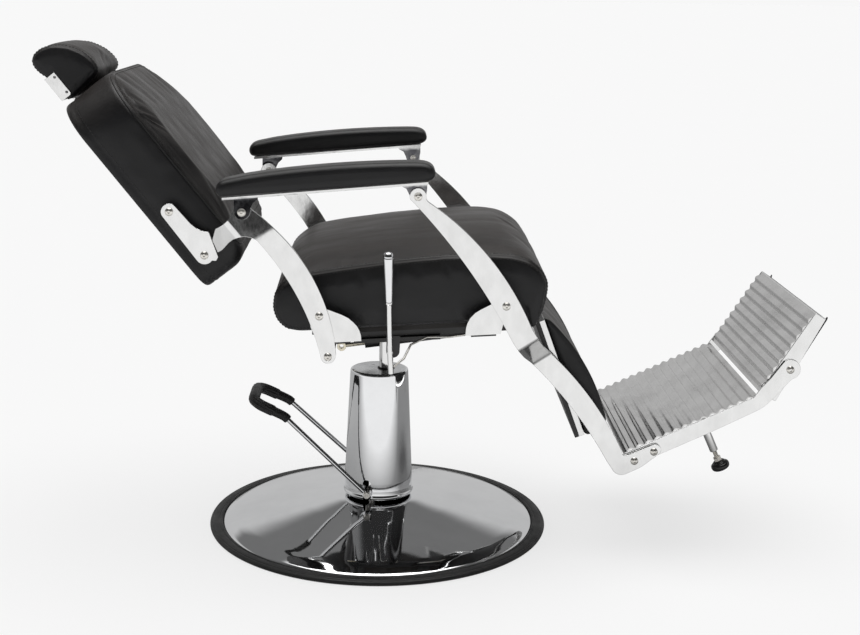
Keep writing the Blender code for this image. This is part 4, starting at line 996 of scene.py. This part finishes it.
def make_release_lever():
    tilt = math.radians(-1.4)
    rod = [(x, RELEASE_Y, z) for x, z in ((0.0215, 0.3765), RELEASE_PIVOT, RELEASE_TIP)]
    bar = sweep("look_release_rod", smooth_path(rod, 60, 0.02), 0.0048, 32)
    hub = pin("hub", RELEASE_PIVOT, 0.0055, -0.2790, -0.2672, 40, 0.0012)
    collar = turned("collar", [(0, 0.0030), (0.0062, 0.0030), (0.0064, 0.0022), (0.0064, -0.0006),
                               (0.0056, -0.0016), (0, -0.0016)], 40,
                    Matrix.Translation((RELEASE_TIP[0], RELEASE_Y, 0.5010)) @ Matrix.Rotation(tilt, 4, "Y"))
    piece(joined(bar, hub, collar), "release_lever", ROD_CHROME, "chrome", "release_rod")
    profile = [(0, 0.0890), (0.0046, 0.0881), (0.0078, 0.0856), (0.0091, 0.0818), (0.0093, 0.0796),
               (0.0088, 0.0790), (0.0088, 0.0781), (0.0094, 0.0773), (0.0092, 0.0700), (0.0080, 0.0430),
               (0.0070, 0.0180), (0.0066, 0.0012), (0.0058, 0.0), (0, 0.0)]
    grip = turned("look_release_grip", rounded(profile, 0.0010, 3, False), 56,
                  Matrix.Translation((RELEASE_TIP[0], RELEASE_Y, 0.5034)) @ Matrix.Rotation(tilt, 4, "Y"))
    piece(grip, "release_lever", CHROME, "chrome", "release_grip", 45.0)
    hook = ([(0.0132, 0.4410), (0.0128, 0.4200)] + arc((0.0245, 0.4140), 0.0117, 180, 360, 20)
            + [(0.0366, 0.4240), (0.0372, 0.4415)])
    piece(plate("look_release_hook", hook, -0.2660, -0.2630, 0.0005, 0.002), "seat", BLACK_STEEL,
          "black_steel", "release_hook", weighted=True)


def make_hinge_plates():
    lean = angle_to(HINGE_LOW, HINGE_TOP)
    outline = arc(HINGE_TOP, 0.0143, lean + 90, lean - 90, 18)
    outline += [(-0.3256, 0.6321), (-0.3150, 0.6237), (-0.3050, 0.6190), (-0.2945, 0.6175),
                (-0.2790, 0.5740), (-0.2830, 0.5672)]
    outline += arc(HINGE_LOW, 0.0160, -35, -140, 14)
    made = plate("hinge_plate", outline, -HINGE_Y, -HINGE_Y + 0.005, 0.0008, 0.0020)
    pair(made, "hinge_plate", "rear_frame", PLATED, "polished_steel", "hinge_plate_{}", weighted=True)


def make_cross_tube():
    tube = pin("look_rear_cross_tube", REAR_LOW, 0.0110, -0.2835, 0.2835, 48, 0.0010)
    piece(tube, "rear_frame", BLACK_STEEL, "black_steel", "rear_cross_tube")


def dress_cad_nodes():
    """Carried-over CAD nodes get rounded edges and their own finish."""
    looks = {BLACK_STEEL: ("base_ballast", "swivel_plate", "chassis_rail_right", "chassis_rail_left",
                           "front_cross_bar", "rear_cross_bar", "gas_cylinder", "calf_board"),
             PLATED: ("front_bracket_right", "front_bracket_left", "rear_bracket_right",
                      "rear_bracket_left", "headrest_bracket", "calf_tray"),
             RAIL_METAL: ("armrest_rail_right", "armrest_rail_left"),
             BOLT_METAL: ("release_head", "release_link"),
             PLYWOOD: ("seat_board",),
             ZINC: ("gas_rod",)}
    finishes = {name: mat for mat, names in looks.items() for name in names}
    for name, mat in finishes.items():
        obj = NODES[name]
        if "custom_normal" in obj.data.attributes:
            obj.data.attributes.remove(obj.data.attributes["custom_normal"])
        obj.data.materials.clear()
        obj.data.materials.append(mat)
        obj.data.shade_smooth()
        obj.modifiers.new("weld", "WELD").merge_threshold = 0.00001
        edge = obj.modifiers.new("edge", "BEVEL")
        edge.width = 0.0006
        edge.segments = 2
        edge.limit_method = "ANGLE"
        edge.angle_limit = math.radians(40)
        obj.modifiers.new("flat_faces", "WEIGHTED_NORMAL")


# ---- soft goods --------------------------------------------------------------------
def soft_body(name, shape, stations, place, rows, dome=(0.0, 0.0)):
    """A closed cover: an outline carried through stations, with gridded end panels.

    shape gives the outline's two halves at a position; they meet at its two ends.
    stations are (position, inset, lift) and place turns an outline point, its
    position and its lift into a point in space.
    """
    bm = bmesh.new()
    rings = []
    for position, inset, lift in stations:
        low, high = shape(position)
        line = inset_outline(low + high, inset)
        rings.append([bm.verts.new(place(p.x, p.y, position, lift)) for p in line])
    half = len(low)
    count = 2 * half
    skin(bm, rings, capped=False)
    for ring, station, sign, rise in ((rings[0], stations[0], -1.0, dome[0]),
                                      (rings[-1], stations[-1], 1.0, dome[1])):
        low, high = shape(station[0])
        line = inset_outline(low + high, station[1])
        columns = []
        for i in range(half):
            top = count - 1 - i
            column = [ring[i]]
            for j in range(1, rows):
                t = j / rows
                p = line[i].lerp(line[top], t)
                a = 1 - (2 * i / (half - 1) - 1) ** 2
                b = 1 - (2 * t - 1) ** 2
                swell = rise * min(1.0, 1.6 * math.sqrt(max(a * b, 0.0)))
                column.append(bm.verts.new(place(p.x, p.y, station[0] + sign * swell, station[2])))
            column.append(ring[top])
            columns.append(column)
        for left, right in zip(columns, columns[1:]):
            for j in range(rows):
                bm.faces.new((left[j], right[j], right[j + 1], left[j + 1]))
        for column in (columns[0], columns[-1]):
            bm.faces.new(column)
    return from_bmesh(name, bm)


def rim_stations(low, high, radius, steps, inner, lift):
    """Stations from low to high with both rims rounded; lift is a rule of the position."""
    made = []
    for i in range(steps):
        a = math.pi / 2 * i / steps
        made.append((low + radius * (1 - math.cos(a)), radius * (1 - math.sin(a))))
    for i in range(inner + 1):
        made.append((low + radius + (high - low - 2 * radius) * i / inner, 0.0))
    made += [(low + high - y, inset) for y, inset in reversed(made[:steps])]
    return [(y, inset, lift(y)) for y, inset in made]


SETTLE_FRAMES = 20


def puff(obj, held, caps, pressure=4.0, grow=0.006):
    """Foam pressing its cover out: cloth under pressure, each point moving at most its cap."""
    scene = bpy.context.scene
    group = obj.vertex_groups.new(name="held")
    for vert in obj.data.vertices:
        weight = held(vert.co)
        if weight > 0.0:
            group.add([vert.index], weight, "REPLACE")
    cloth = obj.modifiers.new("cloth", "CLOTH")
    settings = cloth.settings
    settings.quality = 4
    settings.mass = 0.3
    settings.tension_stiffness = 12.0
    settings.compression_stiffness = 12.0
    settings.shear_stiffness = 5.0
    settings.bending_stiffness = 0.35
    settings.use_pressure = True
    settings.uniform_pressure_force = pressure
    settings.shrink_min = -grow
    settings.vertex_group_mass = "held"
    settings.effector_weights.gravity = 0.0
    cloth.point_cache.frame_start = 1
    cloth.point_cache.frame_end = SETTLE_FRAMES
    for step in range(1, SETTLE_FRAMES + 1):
        scene.frame_set(step)
    graph = bpy.context.evaluated_depsgraph_get()
    moved = [v.co.copy() for v in obj.evaluated_get(graph).data.vertices]
    obj.modifiers.clear()
    for vert, goal in zip(obj.data.vertices, moved):
        shift = goal - vert.co
        limit = caps(vert.co)
        if shift.length > limit:
            shift *= limit / shift.length
        vert.co += shift
    scene.frame_set(1)
    return obj


def refine(obj):
    mod = obj.modifiers.new("refine", "SUBSURF")
    mod.levels = mod.render_levels = 1
    return applied(obj)


def groove(obj, path, width, depth):
    """Press a seam's valley into a cover along a line."""
    tree = KDTree(len(path))
    for i, p in enumerate(path):
        tree.insert(p, i)
    tree.balance()
    normals = [v.normal.copy() for v in obj.data.vertices]
    for vert, normal in zip(obj.data.vertices, normals):
        distance = tree.find(vert.co)[2]
        if distance < width * 3:
            vert.co -= normal * depth * math.exp(-(distance / width) ** 2)
    return obj


def laid_on(obj, path, height=0.0):
    """The same line laid on a piece's surface, with the surface's normals."""
    bm = bmesh.new()
    bm.from_mesh(obj.data)
    tree = BVHTree.FromBMesh(bm)
    made = []
    for p in path:
        spot, normal, _, _ = tree.find_nearest(p)
        made.append((spot + normal * height, normal))
    bm.free()
    return made


def stitches(name, line, pitch=0.0062, length=0.0044, radius=0.00055):
    """A row of thread stitches along a laid line of points and normals."""
    points = [p for p, n in line]
    normals = [n for p, n in line]
    reach = distances(points)
    bm = bmesh.new()
    k = 0
    for stitch in range(int(reach[-1] / pitch)):
        spots = []
        for s in (stitch * pitch, stitch * pitch + length):
            while k < len(points) - 2 and reach[k + 1] < s:
                k += 1
            t = (s - reach[k]) / max(reach[k + 1] - reach[k], 1e-9)
            spots.append((points[k].lerp(points[k + 1], t), normals[k]))
        (start, normal), (end, _) = spots
        along = (end - start).normalized()
        side = along.cross(normal).normalized()
        rows = []
        for share, size, sink in ((0.0, 0.35, -0.9), (0.18, 0.9, 0.0), (0.5, 1.0, 0.25),
                                  (0.82, 0.9, 0.0), (1.0, 0.35, -0.9)):
            middle = start.lerp(end, share) + normal * radius * (0.35 + sink)
            row = []
            for m in range(6):
                a = math.pi * m / 3
                row.append(bm.verts.new(middle + (side * math.cos(a) + normal * math.sin(a)) * radius * size))
            rows.append(row)
        skin(bm, rows)
    return from_bmesh(name, bm)


def seam(cover, stem, body, path, rows, cord, width, depth, closed=False):
    """A sewn line: its valley, the piping cord in it and rows of stitches beside it."""
    groove(cover, path, width, depth)
    if cord is not None:
        line = [p for p, n in laid_on(cover, path, cord * 0.55)]
        piece(sweep("look_piping_" + stem, line, cord, 10, closed), body, VINYL, "black_vinyl")
    for label, row in rows:
        line = laid_on(cover, row, 0.0)
        piece(stitches(f"look_stitches_{stem}_{label}", line), body, THREAD, "black_vinyl")


def side_seams(cover, stem, body, place, outline, crown, half, rows, count, width, depth, keep=None):
    """Seams round both side panels; rows are (name, distance in from the side, inset).

    The first row is the valley, the others are stitched. keep says which points have them.
    """
    for side, label in SIDES:
        lines = []
        for name, inward, inset in rows:
            y = half - inward
            ring = [place(p.x, p.y, side * y, crown(y)) for p in inset_outline(outline, inset)]
            if keep is None:
                lines.append((name, even(ring, count, True)))
                continue
            ring = [p for p in ring if keep(p)]
            start = max(range(len(ring)), key=lambda i: (ring[i] - ring[i - 1]).length)
            lines.append((name, even(ring[start:] + ring[:start], count)))
        seam(cover, f"{stem}_{label}", body, lines[0][1], lines[1:], None, width, depth)


def halves(points, count, corner):
    """An outline's two halves between its two ends, evenly spaced, ends not repeated."""
    line = even(rounded(points, corner, 6), 4 * count, True)
    first = min(range(len(line)), key=lambda i: line[i].x)
    last = max(range(len(line)), key=lambda i: line[i].x)
    turned_line = line[first:] + line[:first]
    cut = (last - first) % len(line)
    a = even(turned_line[:cut + 1], count + 1)
    b = even(turned_line[cut:] + [turned_line[0]], count + 1)
    return a[:-1], b[:-1]


SEAT_OUTLINE = [(-0.140, 0.011), (-0.163, 0.017), (-0.178, 0.034), (-0.183, 0.056), (-0.178, 0.083),
                (-0.163, 0.100), (-0.125, 0.113), (-0.060, 0.120), (0.030, 0.1275), (0.120, 0.1315),
                (0.200, 0.1308), (0.242, 0.1260), (0.270, 0.1160), (0.290, 0.0990), (0.300, 0.0770),
                (0.2985, 0.0620), (0.294, 0.0430), (0.286, 0.0170), (0.275, -0.0045), (0.262, -0.0045),
                (0.258, 0.011), (0.150, 0.011), (0.0, 0.011)]


def make_seat():
    low, high = halves(SEAT_OUTLINE, 76, 0.008)

    def crown(y):
        return 0.027 * (1 - abs(y / SEAT_HALF) ** 2.2)

    def place(x, z, y, lift):
        t = clamped((z - 0.085) / 0.035)
        z += lift * t * t * (3 - 2 * t)
        return SEAT_FRAME @ Vector((x, y, z))

    stations = rim_stations(-SEAT_HALF + 0.001, SEAT_HALF - 0.001, 0.011, 5, 66, crown)
    cover = soft_body("look_seat_cushion", lambda y: (low, high), stations, place, 16, (0.0006, 0.0006))
    back = SEAT_FRAME.inverted()
    tucked = 0.0145

    def held(co):
        p = back @ co
        if p.z < tucked:
            return 1.0
        seam_gap = abs(abs(p.y) - (SEAT_HALF - 0.006))
        return 0.85 if seam_gap < 0.004 else 0.0

    def caps(co):
        p = back @ co
        if p.z < tucked:
            return 0.0
        return 0.0028 if abs(p.y) > SEAT_HALF - 0.012 else 0.0060

    puff(cover, held, caps)
    refine(cover)
    rows = (("valley", 0.0050, 0.0022), ("top", 0.0105, 0.0022), ("side", 0.0005, 0.0060))
    side_seams(cover, "seat", "seat", place, low + high, crown, SEAT_HALF, rows, 700, 0.0018, 0.0011,
               lambda p: (back @ p).z > 0.016)
    piece(cover, "seat", VINYL, "black_vinyl", "seat_cushion", 80.0)


def back_shape(n):
    """Outline of the back at depth n: its top corners are rounder towards the front."""
    corner = 0.070 + 0.025 * clamped(n / 0.095)
    half, top = BACK_HALF, BACK_LENGTH
    right = arc((half - corner, top - corner), corner, 0, 90, 12)
    left = [(-y, u) for y, u in reversed(right)]
    foot = [(-half, 0.026), (-half + 0.006, 0.007), (-half + 0.026, 0.0), (half - 0.026, 0.0),
            (half - 0.006, 0.007), (half, 0.026)]
    return halves(right + left + foot, 62, 0.006)


def make_back():
    def place(y, u, n, lift):
        rise = 0.036 * min(max((n - 0.060) / 0.044, 0.0), 1.1) ** 2.5
        t = clamped(u / 0.110)
        x, z = on_back(u + rise * (1 - t * t * (3 - 2 * t)), n)
        return Vector((x, y, z))

    stations = [(0.0006, 0.0050, 0), (0.0014, 0.0022, 0), (0.0032, 0.0007, 0), (0.0062, 0.0, 0)]
    stations += [(0.0062 + 0.0064 * i, 0.0, 0) for i in range(1, 14)]
    stations += [(0.0930, 0.0004, 0), (0.0962, 0.0018, 0), (0.0990, 0.0042, 0), (0.1012, 0.0078, 0),
                 (0.1026, 0.0125, 0)]
    cover = soft_body("look_back_cushion", back_shape, stations, place, 56, (0.0, 0.0118))

    def depth(co):
        d = co - Vector((BACK_FOOT[0], co.y, BACK_FOOT[1]))
        return d.x * math.cos(BACK_ANGLE) + d.z * math.sin(BACK_ANGLE)

    tucked = 0.0195

    def held(co):
        n = depth(co)
        if n < tucked:
            return 1.0
        return 0.8 if 0.0945 < n < 0.0995 else 0.0

    def caps(co):
        n = depth(co)
        if n < tucked:
            return 0.0
        return 0.0024 if n < 0.093 else 0.0055

    puff(cover, held, caps, 2.2, 0.002)
    refine(cover)

    def line(n, inset):
        low, high = back_shape(n)
        ring = [place(p.x, p.y, n, 0) for p in inset_outline(low + high, inset)]
        return even(ring, 900, True)

    seam(cover, "back_front", "rear_frame", line(0.0965, 0.0020), (("face", line(0.1010, 0.0085)),),
         0.0013, 0.0018, 0.0009, closed=True)
    seam(cover, "back_rear", "rear_frame", line(0.0170, 0.0), (("side", line(0.0205, 0.0)),), None,
         0.0014, 0.0010, closed=True)
    piece(cover, "rear_frame", VINYL, "black_vinyl", None, 80.0)
    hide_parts("back_cushion", "back_board")


HEAD_OUTLINE = [(-0.5615, 0.8262), (-0.5510, 0.8300), (-0.5265, 0.8521), (-0.5060, 0.8725),
                (-0.5022, 0.8800), (-0.5040, 0.8890), (-0.5120, 0.9000), (-0.5250, 0.9110),
                (-0.5400, 0.9190), (-0.5560, 0.9243), (-0.5722, 0.9257), (-0.5884, 0.9248),
                (-0.6061, 0.9178), (-0.6187, 0.9070), (-0.6222, 0.8970), (-0.6200, 0.8870),
                (-0.6130, 0.8780), (-0.6028, 0.8698), (-0.5949, 0.8659)]


HEAD_MIDDLE = (-0.5590, 0.8810)
HEAD_REAR = (-0.5782, 0.8461)


def make_headrest():
    low, high = halves(HEAD_OUTLINE, 34, 0.004)

    def place(x, z, y, lift):
        p = Vector((x, y, z))
        outwards = (p - Vector((HEAD_MIDDLE[0], y, HEAD_MIDDLE[1]))).normalized()
        return p + outwards * lift

    def crown(y):
        return 0.0015 * (1 - (y / HEAD_HALF) ** 2) - 0.0015

    stations = rim_stations(-HEAD_HALF + 0.0006, HEAD_HALF - 0.0006, 0.0085, 5, 34, crown)
    cover = soft_body("look_headrest_cushion", lambda y: (low, high), stations, place, 14,
                      (0.0004, 0.0004))

    def held(co):
        gap = abs(abs(co.y) - (HEAD_HALF - 0.004))
        return 0.85 if gap < 0.003 else 0.0

    def caps(co):
        dx, dz = co.x - HEAD_REAR[0], co.z - HEAD_REAR[1]
        behind = dx * math.cos(BACK_ANGLE) + dz * math.sin(BACK_ANGLE)
        if behind < 0.006:
            return 0.0
        return 0.0016 if abs(co.y) > HEAD_HALF - 0.009 else 0.0035

    puff(cover, held, caps)
    refine(cover)
    rows = (("valley", 0.0035, 0.0020), ("top", 0.0080, 0.0002))
    side_seams(cover, "head", "headrest", place, low + high, crown, HEAD_HALF, rows, 420, 0.0016, 0.0009)
    piece(cover, "headrest", VINYL, "black_vinyl", "headrest_cushion", 80.0)
    for side, label in SIDES:
        for k, u in enumerate((0.4190, 0.4515)):
            bolt(f"look_head_screw_{label}_{k}", "headrest", on_back(u, 0.0068), HEAD_HALF + 0.0034,
                 side, size=0.36, turn=0.3 + k, mat=DARK_SCREW)


def calf_bulge(s):
    radius = 0.3844
    return math.sqrt(radius ** 2 - (s - 0.1786) ** 2) - 0.3339


def make_calf():
    points = [(0.0030, 0.0004), (0.0035, 0.0035)]
    for i in range(14):
        s = 0.006 + (CALF_LENGTH - 0.024) * i / 13
        points.append((s, max(0.0045, calf_bulge(s))))
    end = calf_bulge(CALF_LENGTH - 0.018)
    points += [(CALF_LENGTH - 0.0080, end * 0.90), (CALF_LENGTH - 0.0015, end * 0.55),
               (CALF_LENGTH - 0.0020, 0.0030), (CALF_LENGTH - 0.0040, 0.0004)]
    low, high = halves(points, 40, 0.006)

    def place(s, h, y, lift):
        x, z = on_calf(s, h * (1 + lift))
        return Vector((x, y, z))

    def crown(y):
        return 0.04 * (1 - (y / CALF_HALF) ** 2)

    stations = rim_stations(-CALF_HALF, CALF_HALF, 0.0095, 5, 54, crown)
    cover = soft_body("look_calf_pad", lambda y: (low, high), stations, place, 8)

    def rise(co):
        d = co - Vector((CALF_TOP[0], co.y, CALF_TOP[1]))
        return d.x * math.sin(CALF_ANGLE) + d.z * math.cos(CALF_ANGLE)

    tucked = 0.002

    def held(co):
        return 1.0 if rise(co) < tucked else 0.0

    def caps(co):
        if rise(co) < tucked:
            return 0.0
        return 0.0012 if abs(co.y) > CALF_HALF - 0.008 else 0.0040

    puff(cover, held, caps)
    refine(cover)
    rows = (("valley", 0.0040, 0.0025), ("top", 0.0095, 0.0002))
    side_seams(cover, "calf", "front_frame", place, low + high, crown, CALF_HALF, rows, 420, 0.0028, 0.0016,
               lambda p: rise(p) > 0.0035)
    piece(cover, "front_frame", VINYL, "black_vinyl", "calf_pad", 80.0)


def arm_top(x):
    t = (x + 0.2683) / 0.3612
    return 0.7136 + 0.0372 * math.sin(math.pi / 2 * clamped(t)) ** 0.72


def make_arm_pads():
    points = [(-0.2683, 0.6880), (-0.2738, 0.6945), (-0.2748, 0.7045), (-0.2700, 0.7130)]
    points += [(-0.2600 + 0.315 * i / 9, arm_top(-0.2600 + 0.315 * i / 9)) for i in range(10)]
    points += [(0.0748, 0.7500), (0.0880, 0.7450), (0.0935, 0.7340), (0.0900, 0.7235),
               (0.0760, 0.7185), (-0.0900, 0.7040)]
    low, high = halves(points, 60, 0.006)

    def place(x, z, y, lift):
        t = clamped((z - arm_top(x) + 0.010) / 0.010)
        return Vector((x, y - ARM_Y, z + lift * t))

    def crown(y):
        return 0.0012 * (1 - (y / ARM_HALF) ** 2)

    stations = rim_stations(-ARM_HALF, ARM_HALF, 0.0105, 7, 8, crown)
    pad = refine(soft_body("arm_pad", lambda y: (low, high), stations, place, 8, (0.0004, 0.0004)))
    pair(pad, "armrest_pad", "armrest_{}", PAD_SKIN, "black_vinyl", "armrest_pad_{}", smooth=80.0)


# ---- build -------------------------------------------------------------------------
make_camera()
make_world()
make_floor()
bpy.context.scene.view_settings.view_transform = "Standard"

make_base()
make_pump()
make_pump_lever()
make_rear_bars()
make_front_bars()
make_hinge_plates()
make_cross_tube()
make_footplate()
make_flip_plate()
make_stop_feet()
make_release_lever()
make_bolts()
make_arm_nuts()
dress_cad_nodes()
make_seat()
make_back()
make_headrest()
make_calf()
make_arm_pads()
